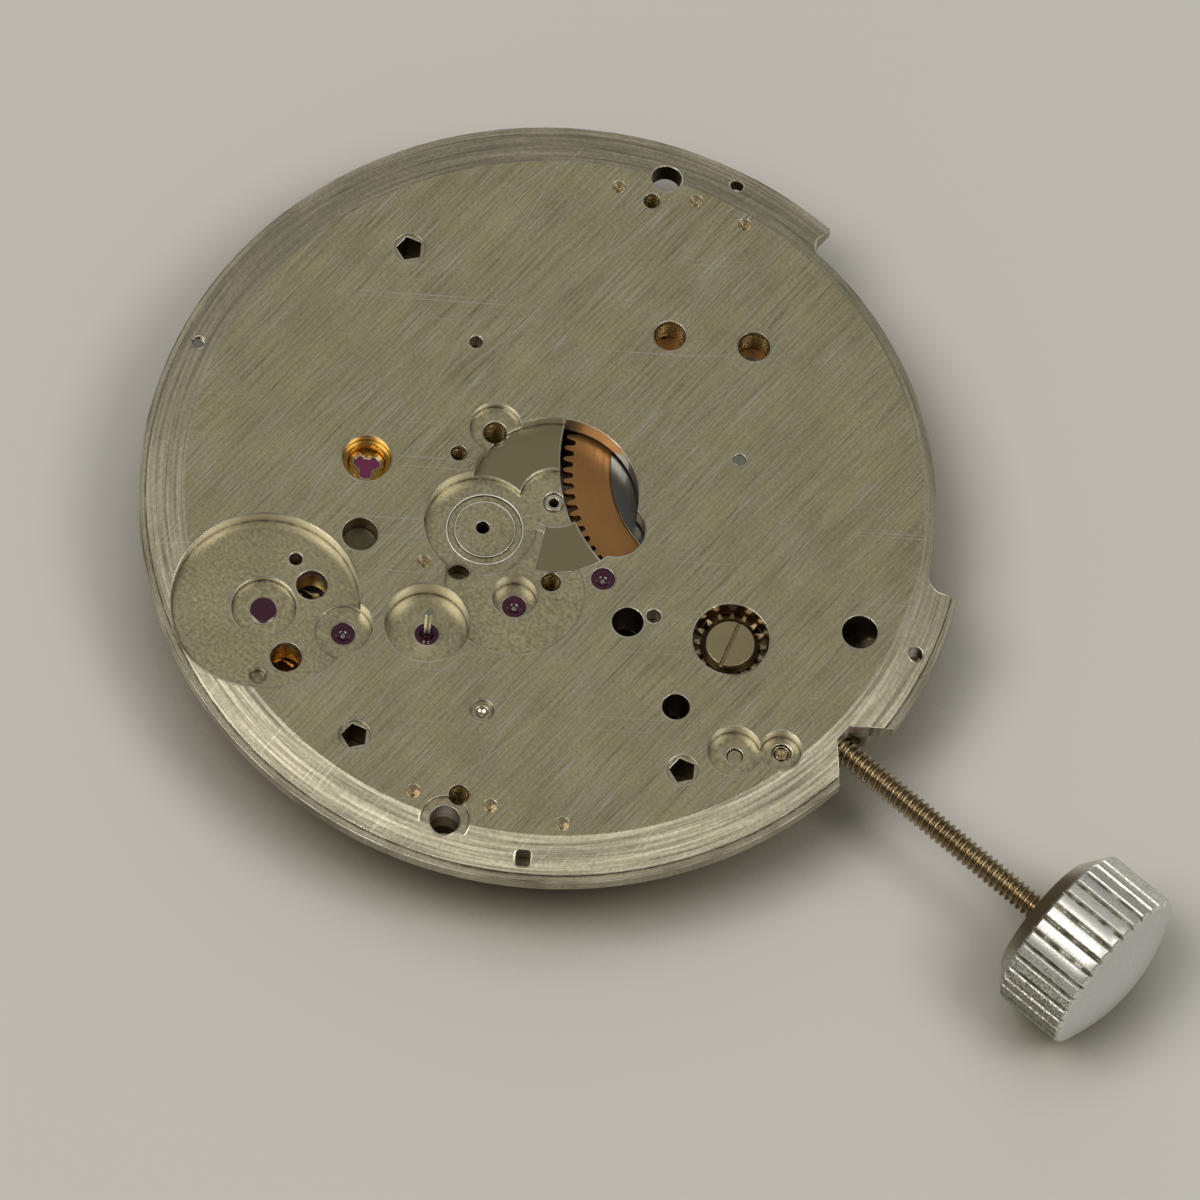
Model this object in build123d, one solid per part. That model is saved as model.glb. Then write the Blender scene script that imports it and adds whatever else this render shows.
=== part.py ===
from build123d import *
import math
import os

# Mechanical watch movement with small seconds, seen dial side up. Sizes in millimetres.
# The origin is the plate's centre on the dial face. +X runs out along the winding stem,
# +Y points to 12 o'clock and +Z out of the dial face. The bridges lie on the -Z side.

# Plate
flange_radius = 13.50
flange_ledge = 0.23
casing_radius = flange_radius - flange_ledge
bevel_width = 1.23
dial_seat_radius = casing_radius - bevel_width
bevel_drop = 0.36
ledge_drop = 0.09
flange_wall = 0.52
body_step = 0.60
plate_thickness = 1.75
flat_depth = 1.08
flat_radius = flange_radius - flat_depth
flat_start_angle = 27.5
flat_end_angle = 89.0
flat_corner_radius = 0.50
notch_depth = 1.10
notch_root_x = flange_radius - notch_depth
notch_root_half_width = 0.30
overrun = 1.0

# Levels below the dial face
barrel_ceiling = -0.80
stem_height = -1.35
bridge_inner = -2.95
bridge_outer = -4.05
rest_plane = -4.35

# Clearances
running_gap = 0.03
end_shake = 0.03
wheel_gap = 0.12
pivot_gap = 0.012
slide_gap = 3 * running_gap

# Places of the arbors on the plate, as shares of the flange radius
barrel_shares = (0.268, 0.371)
second_shares = (0.232, -0.089)
third_shares = (0.110, -0.270)
fourth_shares = (0.0, -0.462)
fifth_shares = (-0.144, -0.603)
escape_shares = (-0.330, -0.681)
pallet_shares = (-0.357, -0.534)
balance_shares = (-0.397, -0.234)
setting_shares = (0.562, 0.0)
crown_wheel_shares = (0.622, 0.0)

# Teeth
barrel_teeth = 88
second_leaves = 10
second_teeth = 60
third_leaves = 8
third_teeth = 64
fourth_leaves = 8
fourth_teeth = 40
fifth_leaves = 16
fifth_teeth = 40
escape_leaves = 10
escape_teeth = 15
ratchet_teeth = 48
crown_wheel_teeth = 24
winding_teeth = 11
clutch_teeth = 16
setting_teeth = 17


def place(shares):
    return (shares[0] * flange_radius, shares[1] * flange_radius)


def span(a, b):
    return math.hypot(b[0] - a[0], b[1] - a[1])


def bearing(a, b):
    return math.degrees(math.atan2(b[1] - a[1], b[0] - a[0]))


def polar(radius, angle, centre=(0, 0)):
    turn = math.radians(angle)
    return (centre[0] + radius * math.cos(turn), centre[1] + radius * math.sin(turn))


barrel_at = place(barrel_shares)
second_at = place(second_shares)
third_at = place(third_shares)
fourth_at = place(fourth_shares)
fifth_at = place(fifth_shares)
escape_at = place(escape_shares)
pallet_at = place(pallet_shares)
balance_at = place(balance_shares)
setting_at = place(setting_shares)
crown_wheel_at = place(crown_wheel_shares)


# Solid helpers: upright discs, rings, cones and slabs between two levels
def disc(radius, top, bottom, at=(0, 0)):
    seat = Align.CENTER, Align.CENTER, Align.MIN
    return Pos(at[0], at[1], bottom) * Cylinder(radius, top - bottom, align=seat)


def ring(outer, inner, top, bottom, at=(0, 0)):
    return disc(outer, top, bottom, at) - disc(inner, top + overrun, bottom - overrun, at)


def cone(top_radius, bottom_radius, top, bottom, at=(0, 0)):
    seat = Align.CENTER, Align.CENTER, Align.MIN
    return Pos(at[0], at[1], bottom) * Cone(bottom_radius, top_radius, top - bottom, align=seat)


def slab(face, top, bottom):
    return extrude(Pos(0, 0, bottom) * face, amount=top - bottom, dir=(0, 0, 1))


def bar_face(start, end, width):
    middle = ((start[0] + end[0]) / 2, (start[1] + end[1]) / 2)
    turn = Rot(0, 0, bearing(start, end))
    return Pos(middle[0], middle[1]) * turn * Rectangle(span(start, end), width)


def spot(radius, at):
    return Pos(at[0], at[1]) * Circle(radius)


def along_x(radius, start, end, at=(0, 0)):
    seat = Align.CENTER, Align.CENTER, Align.MIN
    rod = Rot(0, 90, 0) * Cylinder(radius, end - start, align=seat)
    return Pos(start, at[0], stem_height + at[1]) * rod


def turned(profile):
    # a body of revolution about the upright axis, from (radius, height) corners
    outline = make_face(Polyline(*[(r, 0, z) for r, z in profile], close=True))
    return revolve(outline, Axis.Z)


def save(name, shape):
    parts = list(shape.solids())
    piece = parts[0] if len(parts) == 1 else Compound(children=parts)
    piece.label = name
    export_step(piece, f"parts/{name}.step")


# Teeth: a gear outline with four corners a tooth, or three where the tooth ends in a point
tip_share = 0.45
root_share = 0.62
addendum_share = 0.95
dedendum_share = 1.15


def gear_face(teeth, module, phase=0.0, pointed=False):
    pitch_radius = teeth * module / 2
    tip = pitch_radius + addendum_share * module
    root = pitch_radius - dedendum_share * module
    step = 360 / teeth
    corners = []
    for tooth in range(teeth):
        middle = phase + tooth * step
        corners.append(polar(root, middle - root_share * step / 2))
        if pointed:
            corners.append(polar(tip, middle))
        else:
            corners.append(polar(tip, middle - tip_share * step / 4))
            corners.append(polar(tip, middle + tip_share * step / 4))
        corners.append(polar(root, middle + root_share * step / 2))
    return make_face(Polyline(*corners, close=True))


def mesh_phase(lead_at, lead_teeth, lead_phase, next_at, next_teeth):
    # the turn that puts a gap of the next gear where the lead gear's tooth stands
    line = bearing(lead_at, next_at)
    lead_step = 360 / lead_teeth
    ahead = (lead_phase - line) % lead_step
    return line + 180 - ahead * lead_teeth / next_teeth + 180 / next_teeth


def crossed(face, hub, inner_rim, arm_width, arms, turn=0.0):
    # cut a wheel's crossings, leaving a hub, a rim and straight arms
    opened = face - Circle(inner_rim) + Circle(hub)
    for arm in range(arms):
        end = polar(inner_rim + arm_width / 4, turn + arm * 360 / arms)
        opened = opened + bar_face((0, 0), end, arm_width)
    return opened


# Modules follow from the distances between the arbors
barrel_module = 2 * span(barrel_at, second_at) / (barrel_teeth + second_leaves)
second_module = 2 * span(second_at, third_at) / (second_teeth + third_leaves)
third_module = 2 * span(third_at, fourth_at) / (third_teeth + fourth_leaves)
fourth_module = 2 * span(fourth_at, fifth_at) / (fourth_teeth + fifth_leaves)
fifth_module = 2 * span(fifth_at, escape_at) / (fifth_teeth + escape_leaves)
winding_module = 2 * span(barrel_at, crown_wheel_at) / (ratchet_teeth + crown_wheel_teeth)
crown_wheel_tip = (crown_wheel_teeth / 2 + addendum_share) * winding_module
crown_wheel_root = (crown_wheel_teeth / 2 - dedendum_share) * winding_module
barrel_pitch_radius = barrel_teeth * barrel_module / 2
barrel_tip_radius = barrel_pitch_radius + addendum_share * barrel_module
barrel_root_radius = barrel_pitch_radius - dedendum_share * barrel_module
ratchet_pitch_radius = ratchet_teeth * winding_module / 2
pocket_radius = barrel_tip_radius + wheel_gap

# Phases, each wheel turned until its teeth stand in mesh with the one before
barrel_phase = 0.0
second_phase = mesh_phase(barrel_at, barrel_teeth, barrel_phase, second_at, second_leaves)
third_phase = mesh_phase(second_at, second_teeth, second_phase, third_at, third_leaves)
fourth_phase = mesh_phase(third_at, third_teeth, third_phase, fourth_at, fourth_leaves)
fifth_phase = mesh_phase(fourth_at, fourth_teeth, fourth_phase, fifth_at, fifth_leaves)
escape_phase = mesh_phase(fifth_at, fifth_teeth, fifth_phase, escape_at, escape_leaves)
crown_wheel_phase = 180 / crown_wheel_teeth
ratchet_phase = mesh_phase(crown_wheel_at, crown_wheel_teeth, crown_wheel_phase, barrel_at, ratchet_teeth)

# Levels of the wheels, top and bottom
barrel_headroom = 0.175
barrel_top = barrel_ceiling - barrel_headroom
flange_top_drop = 0.12
tooth_flange_thickness = 0.25
barrel_height = 1.20
barrel_flange_top = barrel_top - flange_top_drop
barrel_flange_bottom = barrel_flange_top - tooth_flange_thickness
barrel_bottom = barrel_top - barrel_height
wheel_thickness = 0.13
wheel_level_step = 0.065
second_wheel_top = barrel_bottom - 2 * end_shake
third_wheel_top = -plate_thickness - wheel_thickness - end_shake
fourth_wheel_top = third_wheel_top - 3 * wheel_thickness
fifth_wheel_top = fourth_wheel_top - 2 * wheel_thickness - wheel_level_step
escape_wheel_top = third_wheel_top - wheel_thickness
winding_wheel_thickness = 0.27
winding_wheel_bottom = bridge_inner + 2 * end_shake
winding_wheel_top = winding_wheel_bottom + winding_wheel_thickness

# Jewels
jewel_radius = 0.39
jewel_thickness = 0.35
pivot_radius = 0.075
arbor_radius = 0.16
seconds_pivot_radius = 0.12
seconds_pivot_top = 0.85
cap_jewel_radius = 0.42

# Recesses of the dial face: radius, and depth below the face
big_recess_radius = 3.07
big_inner_radius = 1.06
fifth_recess_radius = 0.93
fourth_recess_radius = 1.38
third_recess_radius = 0.74
shallow_recess_radius = 2.27
minute_recess_radius = 1.85
stud_recess_radius = 0.85
stud_recess_depth = 0.27
yoke_recess_radius = 0.87
lever_recess_radius = 0.68
lever_recess_depth = 0.50
peg_recess_radius = 0.39
peg_recess_depth = 0.15
foot_recess_radius = 0.80
foot_recess_depth = 0.10
foot_relief_radius = 1.0
foot_relief_top = -1.12
shallow_recess_depth = 0.03
second_jewel_depth = 0.03
third_recess_depth = 0.66
fourth_recess_depth = 0.80
fifth_recess_depth = 0.60
big_recess_depth = 0.55
big_inner_depth = 0.29
minute_recess_depth = 0.65
milling_depth = 0.45
milling_radius = 2.74
milling_start_angle = 55
milling_end_angle = 215
centre_floor_radius = 1.13
window_depth = 0.85
window_lobe_radius = 1.0
window_lobe_shares = (0.166, 0.030)
sector_depth = 0.04
sector_start_angle = -62
sector_end_angle = -12

# Stem line: ends of the pieces along X
setting_hole_radius = 1.25
setting_screw_radius = 0.30
pilot_room = 0.163
pilot_length = 0.80
clutch_room = 0.35
winding_length = 0.80
collar_length = 0.38
stem_groove_width = 0.24
thread_length = 8.55
crown_length = 3.15
pilot_end = setting_at[0] + setting_screw_radius + pilot_room
pilot_bearing_end = pilot_end + pilot_length
clutch_start = pilot_bearing_end + clutch_room
winding_middle = crown_wheel_at[0] + (crown_wheel_tip + crown_wheel_root) / 2
winding_start = winding_middle - winding_length / 2
winding_end = winding_start + winding_length
stem_groove_start = winding_end + collar_length
stem_groove_end = stem_groove_start + stem_groove_width
thread_start = notch_root_x
crown_start = thread_start + thread_length
crown_end = crown_start + crown_length
stem_body_radius = 0.60
stem_thread_radius = 0.43
stem_square = 0.62
pilot_radius = 0.24
winding_radius = 1.12
clutch_radius = 0.92


def rim_profile():
    ledge = -bevel_drop - ledge_drop
    skirt = ledge - flange_wall
    body = flange_radius - body_step
    return [
        (0, 0),
        (dial_seat_radius, 0),
        (casing_radius, -bevel_drop),
        (casing_radius, ledge),
        (flange_radius, ledge),
        (flange_radius, skirt),
        (body, skirt),
        (body, -plate_thickness),
        (0, -plate_thickness),
    ]


def flat_cut():
    # the rim's cut-away between 1 and 2:30, with rounded inner corners
    far = flange_radius + overrun
    face = sector_face(far, flat_start_angle, flat_end_angle) - Circle(flat_radius)
    inner = sorted(face.vertices(), key=lambda v: v.X**2 + v.Y**2)[:2]
    face = fillet(inner, flat_corner_radius)
    return slab(face, overrun, -plate_thickness - overrun)


def stem_notch():
    depth = flange_radius + overrun - notch_root_x
    wide = notch_root_half_width + depth
    face = make_face(
        Polyline(
            (notch_root_x, -notch_root_half_width),
            (notch_root_x + depth, -wide),
            (notch_root_x + depth, wide),
            (notch_root_x, notch_root_half_width),
            close=True,
        )
    )
    return slab(face, overrun, -plate_thickness - overrun)


# Dial-side holes: place as shares of the flange radius, radius, depth; None goes through
access_radius = 0.585
small_hole_radius = 0.225
foot_hole_radius = 0.50
sight_radius = 0.52
screw_hole_radius = 0.53
pin_hole_radius = 0.245
tap_radius = 0.33
small_tap_radius = 0.27
stud_tap_radius = 0.39
oil_hole_radius = 0.40
lever_sight_radius = 0.455
lever_screw_radius = 0.33
yoke_pin_radius = 0.27
centre_hole_radius = 0.17
blind_depth = 0.80
dimple_depth = 0.20
yoke_shares = (0.760, -0.211)
lever_shares = (0.838, -0.131)
plate_pin_shares = (-0.906, -0.272)
peg_shares = (0.245, -0.543)
dial_foot_shares = [(-0.358, 0.822), (0.366, -0.814)]

round_hole_shares = [
    ((-0.276, -0.395), access_radius, None),
    ((0.778, 0.223), access_radius, None),
    ((-0.283, -0.559), sight_radius, None),
    ((-0.203, -0.742), sight_radius, None),
    ((0.350, -0.134), sight_radius, None),
    ((0.581, -0.223), lever_sight_radius, None),
    ((-0.042, -0.301), oil_hole_radius, None),
    ((-0.073, 0.506), screw_hole_radius, None),
    ((0.096, 0.622), screw_hole_radius, None),
    ((0.145, -0.179), tap_radius, None),
    ((0.349, -0.744), tap_radius, None),
    ((-0.220, 0.033), stud_tap_radius, None),
    ((-0.344, 0.750), small_tap_radius, None),
    ((-0.243, -0.074), small_tap_radius, blind_depth),
    ((-0.221, -0.823), small_tap_radius, blind_depth),
    (yoke_shares, yoke_pin_radius, None),
    (lever_shares, lever_screw_radius, None),
    (plate_pin_shares, small_hole_radius, None),
    (peg_shares, small_hole_radius, None),
    ((-0.223, 0.928), small_hole_radius, None),
    ((-0.408, 0.176), small_hole_radius, blind_depth),
    ((-0.083, -0.165), small_hole_radius, None),
    ((0.910, 0.277), pin_hole_radius, None),
    ((0.386, -0.080), pin_hole_radius, blind_depth),
    ((0.0, 0.0), centre_hole_radius, None),
] + [(shares, foot_hole_radius, None) for shares in dial_foot_shares]

dimple_shares = [
    ((-0.116, -0.345), small_hole_radius),
    ((0.263, -0.812), pin_hole_radius),
    ((0.424, -0.717), pin_hole_radius),
    ((0.581, -0.636), pin_hole_radius),
    ((-0.428, 0.724), small_hole_radius),
    ((-0.265, 0.823), small_hole_radius),
    ((-0.135, 0.855), small_hole_radius),
]

recess_shares = [
    ((-0.327, -0.677), big_recess_radius, big_recess_depth),
    ((-0.330, -0.679), big_inner_radius, big_recess_depth + big_inner_depth),
    ((-0.144, -0.600), fifth_recess_radius, fifth_recess_depth),
    ((-0.004, -0.460), fourth_recess_radius, fourth_recess_depth),
    ((0.106, -0.266), third_recess_radius, third_recess_depth),
    ((0.095, -0.254), shallow_recess_radius, shallow_recess_depth),
    ((-0.083, -0.175), minute_recess_radius, minute_recess_depth),
    ((-0.223, 0.038), stud_recess_radius, stud_recess_depth),
    ((0.760, -0.215), yoke_recess_radius, lever_recess_depth),
    ((0.840, -0.138), lever_recess_radius, lever_recess_depth),
    (peg_shares, peg_recess_radius, peg_recess_depth),
    (dial_foot_shares[1], foot_recess_radius, foot_recess_depth),
]

pentagon_shares = [(-0.693, 0.256), (0.064, -0.797), (0.701, -0.336)]
pentagon_radius = 0.45
pentagon_rim_radius = 0.52
pentagon_rim_depth = 0.05
square_hole_shares = (0.566, -0.759)
square_hole_side = 0.50
square_hole_corner = 0.13
minute_ring_shares = (-0.0765, -0.165)
minute_ring_outer = 1.24
minute_ring_inner = 0.98
ring_groove_depth = 0.05
centre_ring_outer = 0.36
centre_ring_inner = 0.28
shock_hole_radius = 0.81


def main_plate():
    plate = turned(rim_profile())
    below = -plate_thickness - overrun
    cuts = [flat_cut(), stem_notch()]
    for shares, radius, depth in recess_shares:
        cuts.append(disc(radius, overrun, -depth, place(shares)))
    for shares, radius, depth in round_hole_shares:
        cuts.append(disc(radius, overrun, below if depth is None else -depth, place(shares)))
    for shares, radius in dimple_shares:
        cuts.append(cone(radius, radius / 4, 0, -dimple_depth, place(shares)))
    for shares in pentagon_shares:
        x, y = place(shares)
        cuts.append(slab(Pos(x, y) * RegularPolygon(pentagon_radius, 5), overrun, below))
        cuts.append(disc(pentagon_rim_radius, overrun, -pentagon_rim_depth, (x, y)))
    x, y = place(square_hole_shares)
    turn = Rot(0, 0, bearing((0, 0), (x, y)))
    square = Pos(x, y) * turn * RectangleRounded(square_hole_side, square_hole_side, square_hole_corner)
    cuts.append(slab(square, overrun, -blind_depth))
    # grooves turned round the minute wheel's seat and round the centre hole
    floor = -minute_recess_depth
    groove = floor - ring_groove_depth
    cuts.append(ring(minute_ring_outer, minute_ring_inner, overrun, groove, place(minute_ring_shares)))
    cuts.append(ring(centre_ring_outer, centre_ring_inner, overrun, groove))
    # milling round the centre, and the window where it opens onto the barrel
    milling = sector_face(milling_radius, milling_start_angle, milling_end_angle)
    cuts.append(slab(milling, overrun, -milling_depth))
    cuts.append(disc(centre_floor_radius, overrun, floor))
    lobe = spot(window_lobe_radius, place(window_lobe_shares))
    window = (Circle(milling_radius) + lobe) & spot(pocket_radius, barrel_at)
    cuts.append(slab(window, overrun, -window_depth))
    sector = sector_face(milling_radius, sector_start_angle, sector_end_angle) - Circle(centre_floor_radius)
    cuts.append(slab(sector, overrun, -sector_depth))
    # seats of the jewels and bores of the arbors
    for at in (second_at, third_at, fourth_at, fifth_at):
        cuts.append(disc(jewel_radius, overrun, below, at))
    cuts.append(disc(cap_jewel_radius, overrun, below, escape_at))
    cuts.append(disc(small_hole_radius, overrun, below, pallet_at))
    cuts.append(disc(shock_hole_radius, overrun, below, balance_at))
    # pockets of the bridge side, and the thinned plate round the upper dial foot's hole
    cuts.append(disc(foot_relief_radius, foot_relief_top, below, place(dial_foot_shares[0])))
    cuts.append(disc(pocket_radius, barrel_ceiling, below, barrel_at))
    cuts.append(disc(arbor_top_radius + pivot_gap, overrun, below, barrel_at))
    second_tip = (second_leaves / 2 + addendum_share) * barrel_module
    cuts.append(disc(second_tip + wheel_gap, barrel_flange_top + wheel_gap, below, second_at))
    cuts.append(disc(jewel_radius, pallet_jewel_top, below, pallet_at))
    for foot in barrel_feet + train_feet + [cock_foot]:
        cuts.append(disc(screw_radius, -screw_end, below, screw_place(foot)))
    cuts.append(disc(pallet_screw_radius, -screw_end, below, pallet_foot_at))
    cuts += keyless_pockets()
    return plate - cuts


def sector_face(radius, start, end):
    middle = (start + end) / 2
    edge = [
        Line((0, 0), polar(radius, start)),
        ThreePointArc(polar(radius, start), polar(radius, middle), polar(radius, end)),
        Line(polar(radius, end), (0, 0)),
    ]
    return make_face(edge)


# Pockets of the plate for the winding work, open to the bridge side
arbor_top_radius = 0.20
finger_slot = 0.80


def keyless_pockets():
    below = -plate_thickness - overrun
    wide = winding_radius + wheel_gap / 2
    slot = clutch_radius + wheel_gap / 2
    length = winding_length + wheel_gap
    slot_start = setting_at[0] + setting_hole_radius
    top = Align.CENTER, Align.CENTER, Align.MAX
    open_down = plate_thickness + stem_height + overrun
    slot_middle = (slot_start + winding_middle) / 2
    slot_box = Box(winding_middle - slot_start, 2 * slot, open_down, align=top)
    finger_box = Box(finger_slot, finger_slot, open_down, align=(Align.MIN, Align.MAX, Align.MAX))
    return [
        along_x(stem_body_radius + running_gap, winding_end, flange_radius + overrun),
        along_x(wide, winding_middle - length / 2, winding_middle + length / 2),
        Pos(winding_middle, 0, stem_height) * Box(length, 2 * wide, open_down, align=top),
        along_x(slot, slot_start - running_gap, winding_middle),
        Pos(slot_middle, 0, stem_height) * slot_box,
        along_x(pilot_radius + running_gap, pilot_end - running_gap, clutch_start),
        disc(setting_hole_radius, overrun, barrel_ceiling - running_gap, setting_at),
        disc(setting_screw_radius, overrun, below, setting_at),
        Pos(stem_groove_start - running_gap, 0, stem_height + lever_finger) * finger_box,
    ]


# Barrel, its arbor and the mainspring
flange_overhang = 0.23
drum_radius = barrel_root_radius - flange_overhang
drum_wall = 0.35
drum_floor = 0.20
cover_seat = 1.05
cover_radius = drum_radius - cover_seat
cover_thickness = 0.25
arbor_core_radius = 1.30
arbor_journal_radius = 0.60
arbor_bridge_radius = 0.50
ratchet_square = 0.76
mainspring_turns = 5
mainspring_thickness = 0.14
mainspring_height = 0.55


def spiral_face(turns, outer_radius, inner_radius, thickness):
    # a flat coil of half circles whose centres alternate, drawn as one closed outline
    pitch = (outer_radius - inner_radius - thickness) / turns
    outside, inside = [], []
    radius, shift = outer_radius - thickness / 2, 0.0
    for half in range(2 * turns):
        side = 1 if half % 2 == 0 else -1
        for chain, offset in ((outside, thickness / 2), (inside, -thickness / 2)):
            reach = radius + offset
            start = (shift + side * reach, 0)
            middle = (shift, side * reach)
            end = (shift - side * reach, 0)
            chain.append(ThreePointArc(start, middle, end))
        radius -= pitch / 2
        shift -= side * pitch / 2
    caps = [Line(outside[0] @ 0, inside[0] @ 0), Line(outside[-1] @ 1, inside[-1] @ 1)]
    return make_face(outside + inside + caps)


def barrel_drum():
    teeth = gear_face(barrel_teeth, barrel_module, barrel_phase) - Circle(cover_radius)
    flange = Pos(*barrel_at) * slab(teeth, barrel_flange_top, barrel_flange_bottom)
    wall = ring(drum_radius, drum_radius - drum_wall, barrel_flange_bottom, barrel_bottom, barrel_at)
    floor_hole = arbor_journal_radius + running_gap
    floor = ring(drum_radius, floor_hole, barrel_bottom + drum_floor, barrel_bottom, barrel_at)
    return flange + wall + floor


def barrel_cover():
    hole = arbor_top_radius + 2 * running_gap
    return ring(cover_radius, hole, barrel_top, barrel_top - cover_thickness, barrel_at)


def barrel_arbor():
    core_top = barrel_top - cover_thickness - end_shake
    core_bottom = barrel_bottom + drum_floor + end_shake
    seat = Align.CENTER, Align.CENTER, Align.MAX
    square = Box(ratchet_square, ratchet_square, winding_wheel_top - bridge_inner, align=seat)
    square = Pos(*barrel_at, winding_wheel_top) * square
    body = disc(arbor_top_radius, -running_gap, core_top, barrel_at)
    body = body + disc(arbor_core_radius, core_top, core_bottom, barrel_at)
    body = body + disc(arbor_journal_radius, core_bottom, winding_wheel_top, barrel_at)
    return body + square + disc(arbor_bridge_radius, bridge_inner, bridge_outer, barrel_at)


def mainspring():
    outer = drum_radius - drum_wall - running_gap
    coil = spiral_face(mainspring_turns, outer, arbor_core_radius + running_gap, mainspring_thickness)
    middle = (barrel_flange_bottom + barrel_bottom + drum_floor) / 2
    return Pos(*barrel_at) * slab(coil, middle + mainspring_height / 2, middle - mainspring_height / 2)


# Winding wheels under the barrel bridge
crown_wheel_mesh = 0.11
core_head_radius = 1.00
core_head_thickness = 0.12
core_radius = 0.60
core_thread_radius = 0.40
click_turn = 150.0
click_room = 0.835
click_reach = ratchet_pitch_radius + click_room
click_radius = 0.55
click_screw_radius = 0.24
click_screw_head = 0.42
click_spring_width = 0.12
click_spring_inset = 0.18
click_spring_start = 92.0
click_spring_gap = 7.0
click_spring_foot = 0.36
click_heel_angle = 100
click_tip_angle = 4
click_toe_angle = 200
click_at = polar(click_reach, click_turn, barrel_at)
click_spring_foot_at = polar(click_reach, click_spring_start, barrel_at)
winding_tip_drop = 0.30


def ratchet_wheel():
    face = gear_face(ratchet_teeth, winding_module, ratchet_phase, pointed=True)
    face = face - Rectangle(ratchet_square, ratchet_square)
    return Pos(*barrel_at) * slab(face, winding_wheel_top, winding_wheel_bottom)


def crown_wheel():
    face = gear_face(crown_wheel_teeth, winding_module, crown_wheel_phase)
    rim_top = stem_height - winding_radius + crown_wheel_mesh
    body = slab(face, rim_top, winding_wheel_bottom)
    body = body - disc(crown_wheel_root, rim_top + overrun, winding_wheel_top)
    body = body - disc(core_radius + running_gap, overrun, bridge_outer)
    return Pos(*crown_wheel_at) * body


def crown_wheel_core():
    low = winding_wheel_top + running_gap
    head = disc(core_head_radius, low + core_head_thickness, low)
    thread = disc(core_thread_radius, bridge_inner, bridge_outer + core_head_thickness)
    return Pos(*crown_wheel_at) * (head + disc(core_radius, low, bridge_inner) + thread)


def click():
    heel = polar(click_radius, click_turn + click_heel_angle, click_at)
    tip = polar(ratchet_pitch_radius + winding_module / 2, click_turn + click_tip_angle, barrel_at)
    toe = polar(click_radius / 2, click_turn + click_toe_angle, click_at)
    beak = make_face(Polyline(heel, tip, toe, click_at, close=True))
    face = spot(click_radius, click_at) + beak - spot(click_screw_radius + pivot_gap, click_at)
    return slab(face, winding_wheel_top, winding_wheel_bottom)


def click_screw():
    low = winding_wheel_top + running_gap
    head = disc(click_screw_head, low + core_head_thickness, low, click_at)
    return head + disc(click_screw_radius, low, bridge_outer + core_head_thickness, click_at)


def click_spring():
    inner = click_reach - click_spring_inset
    strip = Circle(inner + click_spring_width) - Circle(inner)
    reach = sector_face(inner + overrun, click_spring_start, click_turn - click_spring_gap)
    strip = Pos(*barrel_at) * (strip & reach)
    foot = spot(click_spring_foot, click_spring_foot_at)
    return slab(strip + foot, winding_wheel_top, bridge_inner)


# Going train: an arbor is a pivot right through, a body between the shoulders, and leaves
leaf_margin = 0.06
pivot_reach = 0.26
low_shoulder = bridge_inner + end_shake
wheel_hub_radius = 0.42
wheel_arm_width = 0.26
wheel_rim = 0.30
wheel_arms = 4


def leaves(count, module, phase, mate_top, mate_thickness=wheel_thickness):
    face = gear_face(count, module, phase)
    return slab(face, mate_top + leaf_margin, mate_top - mate_thickness - leaf_margin)


def arbor(at, shoulder, pivot_top, pinion, pivot=None):
    thin = pivot or pivot_radius
    body = disc(thin, pivot_top, shoulder) + disc(arbor_radius, shoulder, low_shoulder)
    body = body + disc(pivot_radius, low_shoulder, low_shoulder - pivot_reach) + pinion
    return Pos(*at) * body


def train_wheel(at, teeth, module, phase, top):
    inner_rim = (teeth / 2 - dedendum_share) * module - wheel_rim
    face = gear_face(teeth, module, phase, pointed=True)
    face = crossed(face, wheel_hub_radius, inner_rim, wheel_arm_width, wheel_arms, phase)
    face = face - Circle(arbor_radius)
    return Pos(*at) * slab(face, top, top - wheel_thickness)


second_shoulder = -second_jewel_depth - jewel_thickness - end_shake
third_shoulder = -third_recess_depth - jewel_thickness - end_shake
fourth_shoulder = -fourth_recess_depth - jewel_thickness - end_shake
fifth_shoulder = -fifth_recess_depth - jewel_thickness - end_shake
cap_floor = -big_recess_depth - big_inner_depth
cap_dome = 0.12
cap_bottom = cap_floor - jewel_thickness / 2
escape_jewel_bottom = cap_bottom - jewel_thickness
escape_shoulder = escape_jewel_bottom - end_shake
pallet_jewel_bottom = -plate_thickness + end_shake
pallet_jewel_top = pallet_jewel_bottom + jewel_thickness
pallet_shoulder = -plate_thickness - end_shake / 2


def second_wheel():
    return train_wheel(second_at, second_teeth, second_module, second_phase, second_wheel_top)


def third_wheel():
    return train_wheel(third_at, third_teeth, third_module, third_phase, third_wheel_top)


def fourth_wheel():
    return train_wheel(fourth_at, fourth_teeth, fourth_module, fourth_phase, fourth_wheel_top)


def fifth_wheel():
    return train_wheel(fifth_at, fifth_teeth, fifth_module, fifth_phase, fifth_wheel_top)


def second_pinion():
    pinion = leaves(second_leaves, barrel_module, second_phase, barrel_flange_top, tooth_flange_thickness)
    return arbor(second_at, second_shoulder, second_shoulder + pivot_reach, pinion)


def third_pinion():
    pinion = leaves(third_leaves, second_module, third_phase, second_wheel_top)
    return arbor(third_at, third_shoulder, third_shoulder + pivot_reach, pinion)


def fourth_pinion():
    pinion = leaves(fourth_leaves, third_module, fourth_phase, third_wheel_top)
    return arbor(fourth_at, fourth_shoulder, seconds_pivot_top, pinion, seconds_pivot_radius)


def fifth_pinion():
    pinion = leaves(fifth_leaves, fourth_module, fifth_phase, fourth_wheel_top)
    return arbor(fifth_at, fifth_shoulder, fifth_shoulder + pivot_reach, pinion)


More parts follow.
